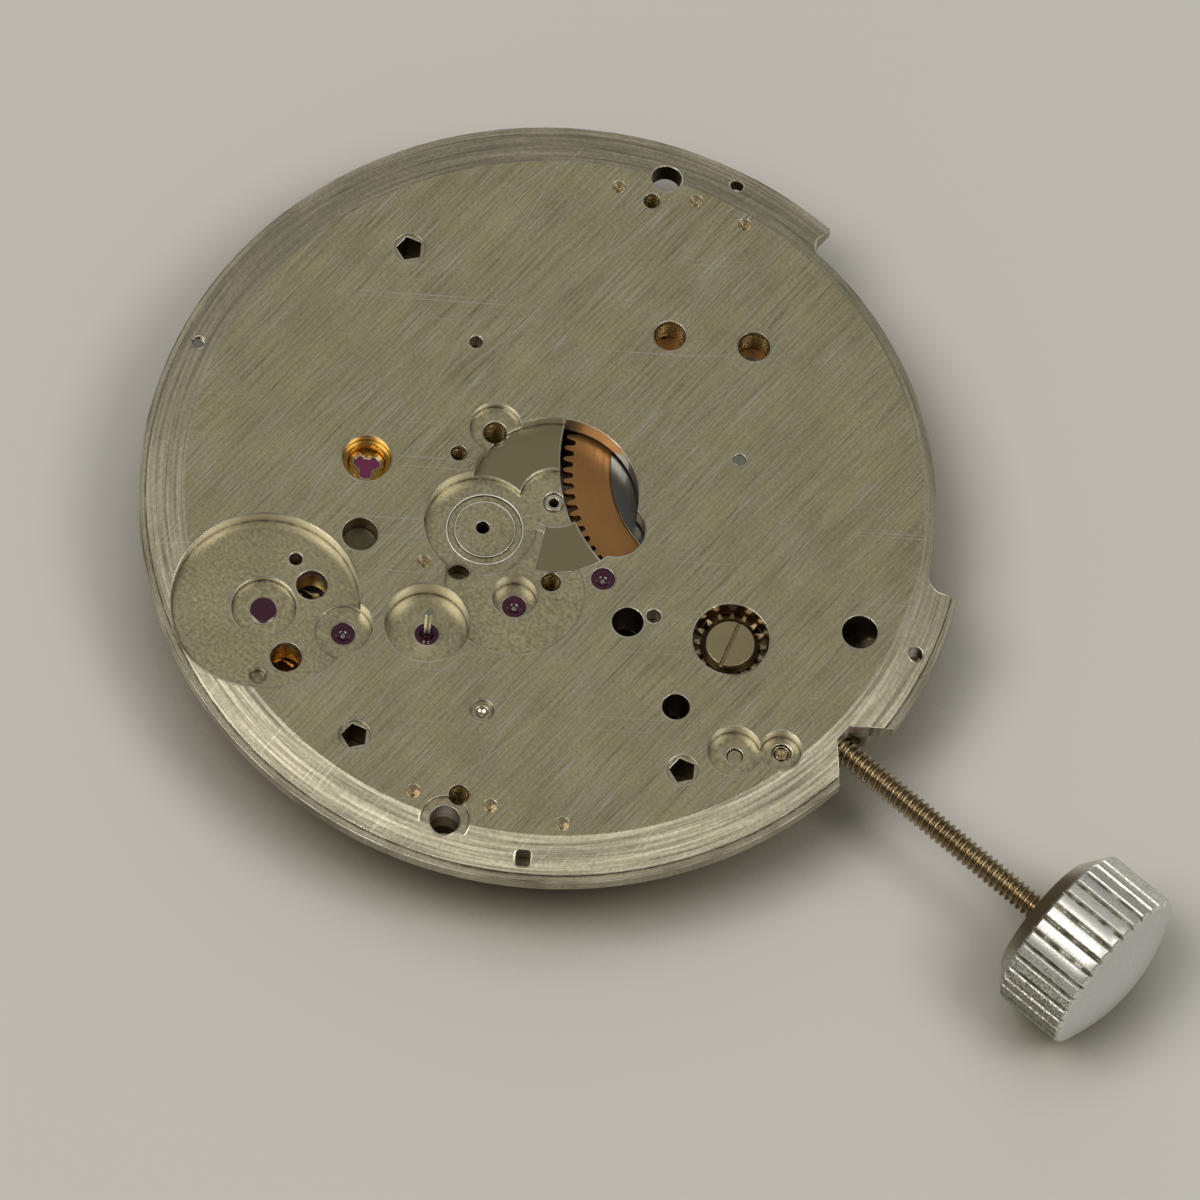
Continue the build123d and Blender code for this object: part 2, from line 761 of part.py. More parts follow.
def escape_pinion():
    pinion = leaves(escape_leaves, fifth_module, escape_phase, fifth_wheel_top)
    return arbor(escape_at, escape_shoulder, cap_bottom - end_shake, pinion)


# Escape wheel, pallets and fork
stone_spread = 30.0
escape_radius = span(escape_at, pallet_at) * math.cos(math.radians(stone_spread))
tooth_depth_share = 0.25
tooth_lean = 7.0
tooth_tip_width = 3.0
tooth_foot_width = 11.0
stone_width = 0.20
stone_length = 0.62
stone_engagement = 0.08
fork_thickness = 0.16
fork_width = 0.34
fork_head_width = 0.78
fork_head_length = 0.55
fork_slot_width = 0.24
pallet_arm_width = 0.46
pallet_hub_radius = 0.37
impulse_radius = 0.62
impulse_pin_radius = 0.09


def escape_wheel():
    root = escape_radius * (1 - tooth_depth_share)
    corners = []
    for tooth in range(escape_teeth):
        foot = tooth * 360 / escape_teeth + bearing(escape_at, pallet_at)
        corners.append(polar(root, foot))
        corners.append(polar(escape_radius, foot + tooth_lean))
        corners.append(polar(escape_radius, foot + tooth_lean + tooth_tip_width))
        corners.append(polar(root, foot + tooth_foot_width))
    face = make_face(Polyline(*corners, close=True))
    face = crossed(face, wheel_hub_radius, root - wheel_rim / 2, wheel_arm_width, wheel_arms)
    face = face - Circle(arbor_radius)
    return Pos(*escape_at) * slab(face, escape_wheel_top, escape_wheel_top - wheel_thickness)


def stone_faces():
    faces = []
    line = bearing(escape_at, pallet_at)
    for side in (-1, 1):
        angle = line + side * stone_spread
        inner = escape_radius - stone_engagement
        start = polar(inner, angle, escape_at)
        faces.append(bar_face(start, polar(inner + stone_length, angle, escape_at), stone_width))
    return faces


fork_top = escape_wheel_top
fork_bottom = fork_top - fork_thickness


def pallet_stones():
    first, second = stone_faces()
    return slab(first, fork_top, fork_bottom) + slab(second, fork_top, fork_bottom)


def pallet_fork():
    line = bearing(escape_at, pallet_at)
    lever = bearing(pallet_at, balance_at)
    reach = span(pallet_at, balance_at) - impulse_radius
    face = bar_face(pallet_at, polar(reach - fork_head_length / 2, lever, pallet_at), fork_width)
    head_start = polar(reach - fork_head_length, lever, pallet_at)
    head_end = polar(reach + impulse_pin_radius, lever, pallet_at)
    face = face + bar_face(head_start, head_end, fork_head_width)
    slot_start = polar(reach - fork_head_length / 2, lever, pallet_at)
    slot_end = polar(reach + fork_head_length, lever, pallet_at)
    face = face - bar_face(slot_start, slot_end, fork_slot_width)
    for side in (-1, 1):
        grip = polar(escape_radius + stone_length, line + side * stone_spread, escape_at)
        face = face + bar_face(pallet_at, grip, pallet_arm_width)
        face = face + spot(pallet_arm_width / 2, grip)
    face = face + spot(pallet_hub_radius, pallet_at) - spot(arbor_radius, pallet_at)
    for stone in stone_faces():
        face = face - stone
    clear = spot(escape_radius + running_gap, escape_at)
    return slab(face - clear, fork_top, fork_bottom)


pallet_cock_top = -2.46
pallet_cock_thickness = 0.34
pallet_cock_shares = (-0.593, -0.637)
pallet_cock_width = 1.30
pallet_foot_radius = 0.85
pallet_screw_radius = 0.28
pallet_head_radius = 0.52
pallet_head_thickness = 0.16
pallet_jewel_radius = 0.35
pallet_foot_at = place(pallet_cock_shares)


def pallet_arbor():
    low = pallet_cock_top + end_shake
    body = disc(pivot_radius, pallet_shoulder + pivot_reach, low - pallet_cock_thickness / 2)
    return Pos(*pallet_at) * (body + disc(arbor_radius, pallet_shoulder, low))


def pallet_cock():
    face = bar_face(pallet_at, pallet_foot_at, pallet_cock_width)
    face = face + spot(pallet_cock_width / 2, pallet_at) + spot(pallet_foot_radius, pallet_foot_at)
    bar = slab(face, pallet_cock_top, pallet_cock_top - pallet_cock_thickness)
    foot = disc(pallet_foot_radius, -plate_thickness, pallet_cock_top, pallet_foot_at)
    hole = disc(pallet_screw_radius, overrun, bridge_outer, pallet_foot_at)
    jewel = disc(pallet_jewel_radius, overrun, bridge_outer, pallet_at)
    return bar + foot - hole - jewel


def pallet_cock_screw():
    low = pallet_cock_top - pallet_cock_thickness
    head = disc(pallet_head_radius, low, low - pallet_head_thickness, pallet_foot_at)
    return head + disc(pallet_screw_radius, -screw_end, low, pallet_foot_at)


# Balance, its staff and roller, and the hairspring
balance_radius = 4.60
balance_rim = 0.42
balance_top = -3.02
balance_rim_height = 0.40
balance_arm_width = 0.55
balance_arm_height = 0.16
balance_hub_radius = 0.62
staff_radius = 0.22
staff_pivot_radius = 0.06
roller_radius = 0.88
roller_thickness = 0.14
safety_radius = 0.42
collet_radius = 0.50
hairspring_turns = 6
hairspring_outer = 2.30
hairspring_thickness = 0.05
hairspring_height = 0.16
cock_inner = -3.88
hairspring_room = 0.20
hairspring_middle = cock_inner + hairspring_room
roller_gap = 0.10
roller_top = fork_bottom - roller_gap


def balance_wheel():
    rim = ring(balance_radius, balance_radius - balance_rim, balance_top, balance_top - balance_rim_height)
    middle = balance_top - balance_rim_height / 2
    reach = balance_radius - balance_rim / 2
    arm_face = bar_face((-reach, 0), (reach, 0), balance_arm_width) + Circle(balance_hub_radius)
    arms = slab(arm_face, middle + balance_arm_height / 2, middle - balance_arm_height / 2)
    wheel = rim + arms - disc(staff_radius, overrun, rest_plane)
    turn = Rot(0, 0, bearing(balance_at, (0, 0)))
    return Pos(*balance_at) * turn * wheel


def balance_staff():
    jewel_top = shock_hole_jewel_bottom - end_shake
    low = upper_jewel_top + end_shake
    body = disc(staff_pivot_radius, jewel_top + shock_jewel_thickness, jewel_top)
    body = body + disc(staff_radius, jewel_top, low)
    return Pos(*balance_at) * (body + disc(staff_pivot_radius, low, low - shock_jewel_thickness))


def roller():
    table = ring(roller_radius, staff_radius, roller_top, roller_top - roller_thickness)
    safety = ring(safety_radius, staff_radius, fork_bottom + fork_thickness / 2, roller_top)
    pin_at = polar(impulse_radius, bearing(balance_at, pallet_at))
    pin = disc(impulse_pin_radius, overrun, rest_plane, pin_at)
    return Pos(*balance_at) * (table + safety - pin)


def impulse_jewel():
    at = polar(impulse_radius, bearing(balance_at, pallet_at), balance_at)
    return disc(impulse_pin_radius, fork_top, roller_top - roller_thickness, at)


def hairspring():
    coil = spiral_face(hairspring_turns, hairspring_outer, collet_radius, hairspring_thickness)
    high = hairspring_middle + hairspring_height / 2
    return Pos(*balance_at) * slab(coil, high, high - hairspring_height)


def hairspring_collet():
    high = hairspring_middle + hairspring_height / 2
    outer = collet_radius - 2 * hairspring_thickness
    return ring(outer, staff_radius, high, high - hairspring_height, balance_at)


# Shock settings of the balance: a block, a jewel pair and a three-lobed spring
shock_jewel_radius = 0.42
shock_jewel_thickness = 0.22
shock_top = -0.32
shock_well = 0.34
shock_spring_radius = 0.62
shock_spring_wire = 0.05
shock_lobe_radius = 0.20
shock_lobes = 3
shock_cap_top = shock_top - shock_well
shock_hole_jewel_bottom = shock_cap_top - 2 * shock_jewel_thickness - running_gap
shock_bottom = shock_hole_jewel_bottom - shock_jewel_thickness
upper_block_bottom = rest_plane + running_gap
upper_jewel_low = upper_block_bottom + shock_spring_wire + 2 * running_gap
upper_jewel_thickness = 0.264
upper_jewel_top = upper_jewel_low + upper_jewel_thickness
lobe_start_angle = 65


def trefoil(level):
    face = Circle(shock_spring_radius) - Circle(shock_spring_radius - shock_spring_wire)
    for lobe in range(shock_lobes):
        at = polar(shock_spring_radius - shock_lobe_radius, lobe_start_angle + lobe * 360 / shock_lobes)
        face = face + spot(shock_lobe_radius, at) - spot(shock_lobe_radius - shock_spring_wire, at)
    return slab(face, level, level - shock_spring_wire)


def lower_shock_block():
    step = shock_cap_top
    block = ring(shock_hole_radius, shock_spring_radius, shock_top, step)
    block = block + ring(shock_hole_radius, shock_jewel_radius, step, shock_hole_jewel_bottom)
    neck = ring(shock_hole_radius, staff_radius + running_gap, shock_hole_jewel_bottom, shock_bottom)
    return Pos(*balance_at) * (block + neck)


def lower_shock_jewels():
    cap = disc(shock_jewel_radius, shock_cap_top, shock_cap_top - shock_jewel_thickness)
    low = shock_hole_jewel_bottom
    hole = ring(shock_jewel_radius, staff_pivot_radius + pivot_gap, low + shock_jewel_thickness, low)
    return Pos(*balance_at) * Compound(children=[cap.solids()[0], hole.solids()[0]])


def lower_shock_spring():
    return Pos(*balance_at) * trefoil(shock_cap_top + shock_spring_wire)


def upper_shock_block():
    block = ring(shock_hole_radius, shock_jewel_radius, upper_jewel_top, upper_jewel_low)
    well = ring(shock_hole_radius, shock_spring_radius, upper_jewel_low, upper_block_bottom)
    return Pos(*balance_at) * (block + well)


def upper_shock_jewels():
    bore = staff_pivot_radius + pivot_gap
    return ring(shock_jewel_radius, bore, upper_jewel_top, upper_jewel_low, balance_at)


def upper_shock_spring():
    return Pos(*balance_at) * trefoil(upper_jewel_low)


# Bridges, standing on feet round the plate's edge
bridge_margin = 1.40
bridge_radius = flange_radius - bridge_margin
foot_width = 1.10
screw_inset = 0.30
bridge_gap = 0.24
balance_room = 0.35
dial_foot_room = foot_hole_radius + 2 * wheel_gap
split_shares = [(-0.040, -0.022), (1.10, -0.505)]
barrel_bridge_shares = [(1.10, 1.10), (-0.62, 1.10), (-0.30, 0.16)]
train_bridge_shares = [(1.10, -1.10), (-0.42, -1.10), (-0.42, -0.60), (-0.040, -0.40)]
barrel_feet = [(119, 139), (9, 23), (-25, -17)]
train_feet = [(-63, -44), (-100, -84)]
cock_foot = (150, 176)
cock_foot_width = 1.50
cock_width = 3.40
screw_head_radius = 0.85
screw_head_thickness = rest_plane - bridge_outer
screw_radius = 0.42
screw_end = 1.20
cock_screw_sink = 0.30
cock_screw_seat = rest_plane + cock_screw_sink
screw_circle = bridge_radius - foot_width / 2 - screw_inset
stud_radius = 0.13
stud_angle = 120
stud_at = polar(hairspring_outer + stud_radius + 2 * running_gap, stud_angle, balance_at)


def screw_place(foot):
    return polar(screw_circle, sum(foot) / 2)


def foot_face(width, foot):
    return sector_face(bridge_radius, *foot) - Circle(bridge_radius - width)


def bridge_holes(feet):
    return [disc(screw_radius, overrun, rest_plane - overrun, screw_place(foot)) for foot in feet]


def bridge_body(corner_shares, side, feet):
    a, b = (place(shares) for shares in split_shares)
    shift = polar(bridge_gap / 2, bearing(a, b) + side * 90)
    outline = [(a[0] + shift[0], a[1] + shift[1]), (b[0] + shift[0], b[1] + shift[1])]
    outline += [place(shares) for shares in corner_shares]
    face = make_face(Polyline(*outline, close=True)) & Circle(bridge_radius)
    face = face - spot(balance_radius + balance_room, balance_at)
    body = slab(face, bridge_inner, bridge_outer)
    for foot in feet:
        body = body + slab(foot_face(foot_width, foot), -plate_thickness, bridge_inner)
    room = [disc(dial_foot_room, 0, rest_plane, place(shares)) for shares in dial_foot_shares]
    return body - bridge_holes(feet) - room


def barrel_bridge():
    body = bridge_body(barrel_bridge_shares, 1, barrel_feet)
    low = bridge_outer - overrun
    cuts = [
        disc(arbor_bridge_radius + pivot_gap, 0, low, barrel_at),
        disc(core_thread_radius, 0, low, crown_wheel_at),
        disc(click_screw_radius, 0, low, click_at),
        disc(jewel_radius, 0, low, second_at),
    ]
    return body - cuts


def train_bridge():
    body = bridge_body(train_bridge_shares, -1, train_feet)
    low = bridge_outer - overrun
    return body - [disc(jewel_radius, 0, low, at) for at in (third_at, fourth_at, fifth_at, escape_at)]


def bridge_jewels():
    stones = [
        ring(jewel_radius, pivot_radius + pivot_gap, bridge_inner, bridge_inner - jewel_thickness, at)
        for at in (second_at, third_at, fourth_at, fifth_at, escape_at)
    ]
    low = pallet_cock_top - pallet_cock_thickness
    stones.append(ring(pallet_jewel_radius, pivot_radius + pivot_gap, pallet_cock_top, low, pallet_at))
    return Compound(children=[stone.solids()[0] for stone in stones])


def plate_jewels():
    seats = [
        (second_at, -second_jewel_depth, pivot_radius),
        (third_at, -third_recess_depth, pivot_radius),
        (fourth_at, -fourth_recess_depth, seconds_pivot_radius),
        (fifth_at, -fifth_recess_depth, pivot_radius),
    ]
    seats = [(at, top, top - jewel_thickness, bore + pivot_gap) for at, top, bore in seats]
    seats.append((pallet_at, pallet_jewel_top, pallet_jewel_bottom, pivot_radius + pivot_gap))
    stones = [ring(jewel_radius, bore, top, low, at) for at, top, low, bore in seats]
    bore = pivot_radius + pivot_gap
    stones.append(ring(cap_jewel_radius, bore, cap_bottom, escape_jewel_bottom, escape_at))
    return Compound(children=[stone.solids()[0] for stone in stones])


def cap_jewel():
    return disc(cap_jewel_radius, cap_floor + cap_dome, cap_bottom, escape_at)


def balance_cock():
    screw_at = screw_place(cock_foot)
    low = rest_plane - overrun
    face = bar_face(balance_at, screw_at, cock_width) & Circle(bridge_radius)
    face = face + spot(cock_width / 2, balance_at)
    foot = foot_face(cock_foot_width, cock_foot)
    body = slab(face + foot, cock_inner, rest_plane) + slab(foot, -plate_thickness, cock_inner)
    cuts = [
        disc(screw_radius, overrun, low, screw_at),
        disc(screw_head_radius, cock_screw_seat, low, screw_at),
        disc(stud_radius, overrun, low, stud_at),
        disc(shock_hole_radius, overrun, low, balance_at),
    ]
    return body - cuts


def hairspring_stud():
    return disc(stud_radius, hairspring_middle + hairspring_height / 2, rest_plane + running_gap, stud_at)


def bridge_screws():
    screws = []
    for foot in barrel_feet + train_feet:
        at = screw_place(foot)
        screw = disc(screw_head_radius, bridge_outer, rest_plane, at)
        screws.append((screw + disc(screw_radius, -screw_end, bridge_outer, at)).solids()[0])
    return Compound(children=screws)


def cock_screw():
    at = screw_place(cock_foot)
    head = disc(screw_head_radius, cock_screw_seat, rest_plane, at)
    return head + disc(screw_radius, -screw_end, cock_screw_seat, at)


# Stem line: stem, crown, winding pinion, sliding clutch and their levers
crown_radius = 2.90
crown_ridges = 34
crown_ridge_radius = 0.20
crown_ridge_height = 0.26
crown_dome = 0.60
crown_cone = 0.62
crown_lip = 0.16
crown_tube_radius = 1.30
crown_floor = 0.55
clutch_groove_offset = 0.42
clutch_groove_width = 0.26
clutch_groove_start = clutch_start + clutch_groove_offset
clutch_groove_end = clutch_groove_start + clutch_groove_width
clutch_groove_radius = 0.66
clutch_notch_width = 0.23
winding_bore = 0.45


def stem():
    seat = Align.MIN, Align.CENTER, Align.CENTER
    square = Box(winding_start - pilot_bearing_end, stem_square, stem_square, align=seat)
    square = Pos(pilot_bearing_end, 0, stem_height) * square
    body = along_x(pilot_radius, pilot_end, pilot_bearing_end) + square
    body = body + along_x(winding_bore - running_gap, winding_start, winding_end)
    body = body + along_x(stem_body_radius, winding_end, stem_groove_start)
    body = body + along_x(stem_thread_radius, stem_groove_start, stem_groove_end)
    body = body + along_x(stem_body_radius, stem_groove_end, thread_start)
    return body + along_x(stem_thread_radius, thread_start, crown_end - crown_floor)


def crown():
    # a cone on the stem's side, round ridges, a small lip and a domed end
    root = crown_radius - crown_ridge_height
    top = crown_length + crown_dome
    ball = (root**2 + crown_dome**2) / (2 * crown_dome)
    half_way = top - ball + math.sqrt(ball**2 - root**2 / 4)
    corners = [
        (0, 0),
        (crown_tube_radius, 0),
        (crown_radius, crown_cone),
        (crown_radius, crown_length - crown_lip),
        (root, crown_length),
    ]
    edge = [Line((a[0], 0, a[1]), (b[0], 0, b[1])) for a, b in zip(corners, corners[1:])]
    edge.append(ThreePointArc((root, 0, crown_length), (root / 2, 0, half_way), (0, 0, top)))
    edge.append(Line((0, 0, top), (0, 0, 0)))
    body = revolve(make_face(edge), Axis.Z)
    outline = Circle(root)
    for ridge in range(crown_ridges):
        at = polar(crown_radius - crown_ridge_radius, ridge * 360 / crown_ridges)
        outline = outline + spot(crown_ridge_radius, at)
    body = body & slab(outline, top + overrun, -overrun)
    body = body - disc(stem_thread_radius, crown_length - crown_floor, -overrun)
    return Pos(crown_start, 0, stem_height) * Rot(0, 90, 0) * body


def winding_pinion():
    corners = []
    step = 360 / winding_teeth
    root = winding_radius - winding_tip_drop
    for tooth in range(winding_teeth):
        middle = tooth * step
        corners.append(polar(root, middle - step * root_share / 2))
        corners.append(polar(winding_radius, middle - step * tip_share / 4))
        corners.append(polar(winding_radius, middle + step * tip_share / 4))
        corners.append(polar(root, middle + step * root_share / 2))
    face = make_face(Polyline(*corners, close=True)) - Circle(winding_bore)
    body = extrude(face, amount=winding_end - winding_start - running_gap, dir=(0, 0, 1))
    return Pos(winding_start, 0, stem_height) * Rot(0, 90, 0) * body


def sliding_clutch():
    end = winding_start - slide_gap
    body = along_x(clutch_radius, clutch_start, end)
    groove = along_x(clutch_radius + overrun, clutch_groove_start, clutch_groove_end)
    core = along_x(clutch_groove_radius, clutch_groove_start - overrun, clutch_groove_end + overrun)
    groove = groove - core
    side = stem_square + 2 * pivot_gap
    hole = Box(2 * overrun + end - clutch_start, side, side, align=(Align.MIN, Align.CENTER, Align.CENTER))
    hole = Pos(clutch_start - overrun, 0, stem_height) * hole
    notches = []
    seat = Align.CENTER, Align.MIN, Align.CENTER
    for k in range(clutch_teeth // 2):
        notch = Box(2 * clutch_notch_width, clutch_radius, clutch_notch_width, align=seat)
        notch = Rot(k * 720 / clutch_teeth, 0, 0) * Pos(0, clutch_groove_radius, 0) * notch
        notches.append(Pos(clutch_start, 0, stem_height) * notch)
    return body - groove - hole - notches


setting_module = (setting_hole_radius - wheel_gap / 2) / (setting_teeth / 2 + addendum_share)
setting_wheel_bottom = barrel_ceiling - running_gap + end_shake
setting_wheel_thickness = 0.20
setting_head_radius = 0.83
setting_head_thickness = 0.22


def setting_wheel():
    face = gear_face(setting_teeth, setting_module) - Circle(setting_screw_radius + running_gap)
    top = setting_wheel_bottom + setting_wheel_thickness
    return Pos(*setting_at) * slab(face, top, setting_wheel_bottom)


def setting_wheel_screw():
    low = setting_wheel_bottom + setting_wheel_thickness + end_shake
    head = disc(setting_head_radius, low + setting_head_thickness, low, setting_at)
    return head + disc(setting_screw_radius, low, -plate_thickness + running_gap, setting_at)


lever_pivot_at = place(lever_shares)
yoke_pivot_at = place(yoke_shares)
lever_top = -plate_thickness - end_shake
lever_thickness = 0.24
lever_hub_radius = 0.62
lever_arm_width = 0.42
lever_finger = 0.16
lever_head_radius = 0.56
yoke_finger = 0.18
yoke_hub_radius = 0.60
post_top = -0.56


def setting_lever():
    middle = (stem_groove_start + stem_groove_end) / 2
    tip = (middle, -stem_thread_radius - lever_finger / 2 - running_gap)
    face = bar_face(lever_pivot_at, tip, lever_arm_width) + spot(lever_hub_radius, lever_pivot_at)
    face = face + spot(lever_arm_width / 2, tip) - spot(lever_screw_radius + pivot_gap, lever_pivot_at)
    seat = Align.CENTER, Align.CENTER, Align.MIN
    finger = Pos(*tip, lever_top) * Box(lever_finger, lever_finger, stem_height - lever_top, align=seat)
    return slab(face, lever_top, lever_top - lever_thickness) + finger


def setting_lever_screw():
    low = lever_top - lever_thickness - end_shake
    head = disc(lever_head_radius, low, low - lever_thickness, lever_pivot_at)
    return head + disc(lever_screw_radius, post_top, low, lever_pivot_at)


def yoke():
    middle = (clutch_groove_start + clutch_groove_end) / 2
    tip = (middle, -clutch_groove_radius - yoke_finger / 2 - running_gap)
    face = bar_face(yoke_pivot_at, tip, lever_arm_width) + spot(yoke_hub_radius, yoke_pivot_at)
    face = face + spot(lever_arm_width / 2, tip) - spot(yoke_pin_radius + pivot_gap, yoke_pivot_at)
    low = lever_top - lever_thickness
    seat = Align.CENTER, Align.CENTER, Align.MIN
    finger = Pos(*tip, low) * Box(yoke_finger, yoke_finger, stem_height - low, align=seat)
    return slab(face, low, low - lever_thickness) + finger


def yoke_pin():
    return disc(yoke_pin_radius, post_top, lever_top - 2 * lever_thickness, yoke_pivot_at)


def plate_pin():
    return disc(small_hole_radius, -bevel_drop, -bevel_drop - flange_wall, place(plate_pin_shares))


os.makedirs("parts", exist_ok=True)
pieces = {
    "main_plate": main_plate,
    "plate_jewels": plate_jewels,
    "cap_jewel": cap_jewel,
    "plate_pin": plate_pin,
    "barrel_drum": barrel_drum,
    "barrel_cover": barrel_cover,
    "barrel_arbor": barrel_arbor,
    "mainspring": mainspring,
    "ratchet_wheel": ratchet_wheel,
    "crown_wheel": crown_wheel,
    "crown_wheel_core": crown_wheel_core,
    "click": click,
    "click_screw": click_screw,
    "click_spring": click_spring,
    "second_pinion": second_pinion,
    "second_wheel": second_wheel,
    "third_pinion": third_pinion,
    "third_wheel": third_wheel,
    "fourth_pinion": fourth_pinion,
    "fourth_wheel": fourth_wheel,
    "fifth_pinion": fifth_pinion,
    "fifth_wheel": fifth_wheel,
    "escape_pinion": escape_pinion,
    "escape_wheel": escape_wheel,
    "pallet_fork": pallet_fork,
    "pallet_stones": pallet_stones,
    "pallet_arbor": pallet_arbor,
    "pallet_cock": pallet_cock,
    "pallet_cock_screw": pallet_cock_screw,
    "balance_wheel": balance_wheel,
    "balance_staff": balance_staff,
    "roller": roller,
    "impulse_jewel": impulse_jewel,
    "hairspring": hairspring,
    "hairspring_collet": hairspring_collet,
    "hairspring_stud": hairspring_stud,
    "lower_shock_block": lower_shock_block,
    "lower_shock_jewels": lower_shock_jewels,
    "lower_shock_spring": lower_shock_spring,
    "upper_shock_block": upper_shock_block,
    "upper_shock_jewels": upper_shock_jewels,
    "upper_shock_spring": upper_shock_spring,
    "barrel_bridge": barrel_bridge,
    "train_bridge": train_bridge,
    "bridge_jewels": bridge_jewels,
    "balance_cock": balance_cock,
    "bridge_screws": bridge_screws,
    "cock_screw": cock_screw,
    "stem": stem,
    "crown": crown,
    "winding_pinion": winding_pinion,
    "sliding_clutch": sliding_clutch,
    "setting_wheel": setting_wheel,
    "setting_wheel_screw": setting_wheel_screw,
    "setting_lever": setting_lever,
    "setting_lever_screw": setting_lever_screw,
    "yoke": yoke,
    "yoke_pin": yoke_pin,
}
for name, make in pieces.items():
    save(name, make())
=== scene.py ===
import math

import bmesh
import bpy
from mathutils import Matrix, Vector


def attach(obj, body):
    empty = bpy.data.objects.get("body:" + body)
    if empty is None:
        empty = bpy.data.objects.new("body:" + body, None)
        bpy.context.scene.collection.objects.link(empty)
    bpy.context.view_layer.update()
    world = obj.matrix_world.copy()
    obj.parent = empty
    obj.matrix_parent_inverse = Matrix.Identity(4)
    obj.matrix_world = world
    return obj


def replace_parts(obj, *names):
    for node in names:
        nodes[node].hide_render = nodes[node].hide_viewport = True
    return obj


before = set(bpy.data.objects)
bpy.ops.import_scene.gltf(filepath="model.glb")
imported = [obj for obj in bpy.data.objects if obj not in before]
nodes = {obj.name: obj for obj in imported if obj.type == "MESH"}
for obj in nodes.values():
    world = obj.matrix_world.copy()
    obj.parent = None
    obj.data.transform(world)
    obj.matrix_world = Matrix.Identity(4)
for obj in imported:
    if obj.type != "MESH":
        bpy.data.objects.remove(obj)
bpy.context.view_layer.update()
mm = 0.001
print("frame loaded,", len(nodes), "parts")

# Places on the plate, in millimetres from its centre
stemHeight = -1.35
restPlane = -4.35
barrelAt = (3.618, 5.0085)
secondAt = (3.132, -1.2015)
thirdAt = (1.485, -3.645)
fourthAt = (0.0, -6.237)
fifthAt = (-1.944, -8.1405)
escapeAt = (-4.455, -9.1935)
palletAt = (-4.8195, -7.209)
balanceAt = (-5.3595, -3.159)
settingAt = (7.587, 0.0)
leverAt = (11.313, -1.7685)
yokeAt = (10.26, -2.8485)
clickAt = (-1.102, 7.734)
crownWheelAt = (8.397, 0.0)


# Node helpers
def setInput(tree, socket, value):
    if isinstance(value, bpy.types.NodeSocket):
        tree.links.new(value, socket)
    else:
        socket.default_value = value


def addNode(tree, kind, inputs=None, **settings):
    node = tree.nodes.new("ShaderNode" + kind)
    for name, value in settings.items():
        setattr(node, name, value)
    for name, value in (inputs or {}).items():
        setInput(tree, node.inputs[name], value)
    return node


def maths(tree, operation, *values, clamp=False):
    return addNode(tree, "Math", dict(enumerate(values)), operation=operation, use_clamp=clamp).outputs[0]


def times(tree, first, second):
    return maths(tree, "MULTIPLY", first, second)


def invert(tree, value):
    return maths(tree, "SUBTRACT", 1.0, value)


def vectorMaths(tree, operation, *values, out="Vector"):
    return addNode(tree, "VectorMath", dict(enumerate(values)), operation=operation).outputs[out]


def split(tree, vector):
    return addNode(tree, "SeparateXYZ", {"Vector": vector}).outputs


def flatten(tree, vector):
    parts = split(tree, vector)
    return addNode(tree, "CombineXYZ", {"X": parts["X"], "Y": parts["Y"]}).outputs[0]


def objectPlace(tree):
    return addNode(tree, "TexCoord").outputs["Object"]


def turnFlat(tree, vector, angle):
    inputs = {"Vector": vector, "Angle": angle}
    return addNode(tree, "VectorRotate", inputs, rotation_type="Z_AXIS").outputs[0]


def occlusion(tree, reach):
    return addNode(tree, "AmbientOcclusion", {"Distance": reach}, samples=6).outputs["AO"]


def inMetres(at):
    return (at[0] * mm, at[1] * mm, 0.0)


def distance(tree, flat, at):
    return vectorMaths(tree, "DISTANCE", flat, inMetres(at), out="Value")


def isNear(tree, flat, at, reach):
    return maths(tree, "LESS_THAN", distance(tree, flat, at), reach * mm)


def noise(tree, place, scale=1.0, detail=2.0, roughness=0.5):
    inputs = {"Vector": place, "Scale": scale, "Detail": detail, "Roughness": roughness}
    return addNode(tree, "TexNoise", inputs).outputs["Fac"]


def ramp(tree, value, low, high, toLow=0.0, toHigh=1.0):
    inputs = {"Value": value, "From Min": low, "From Max": high, "To Min": toLow, "To Max": toHigh}
    return addNode(tree, "MapRange", inputs, clamp=True).outputs["Result"]


def spanRamp(tree, value, span, toLow=0.0, toHigh=1.0):
    # a ramp over a span given in millimetres
    return ramp(tree, value, span[0] * mm, span[1] * mm, toLow, toHigh)


def mixColour(tree, factor, first, second, blend="MIX"):
    node = tree.nodes.new("ShaderNodeMix")
    node.data_type = "RGBA"
    node.blend_type = blend
    node.clamp_factor = True
    for number, value in ((0, factor), (6, first), (7, second)):
        setInput(tree, node.inputs[number], value)
    return node.outputs[2]


def tint(tree, colour, shade):
    return mixColour(tree, 1.0, colour, shade, "MULTIPLY")


def grey(value):
    return (value, value, value, 1)


def newGroup(name, inputs, outputs):
    tree = bpy.data.node_groups.new(name, "ShaderNodeTree")
    for label, kind, value in inputs:
        socket = tree.interface.new_socket(label, in_out="INPUT", socket_type="NodeSocket" + kind)
        socket.default_value = value
    for label, kind in outputs:
        tree.interface.new_socket(label, in_out="OUTPUT", socket_type="NodeSocket" + kind)
    return tree, tree.nodes.new("NodeGroupInput").outputs, tree.nodes.new("NodeGroupOutput")


def endGroup(tree, end, **results):
    for label, value in results.items():
        tree.links.new(value, end.inputs[label])
    return tree


def useGroup(tree, group, inputs=None):
    node = tree.nodes.new("ShaderNodeGroup")
    node.node_tree = group
    for name, value in (inputs or {}).items():
        setInput(tree, node.inputs[name], value)
    return node.outputs


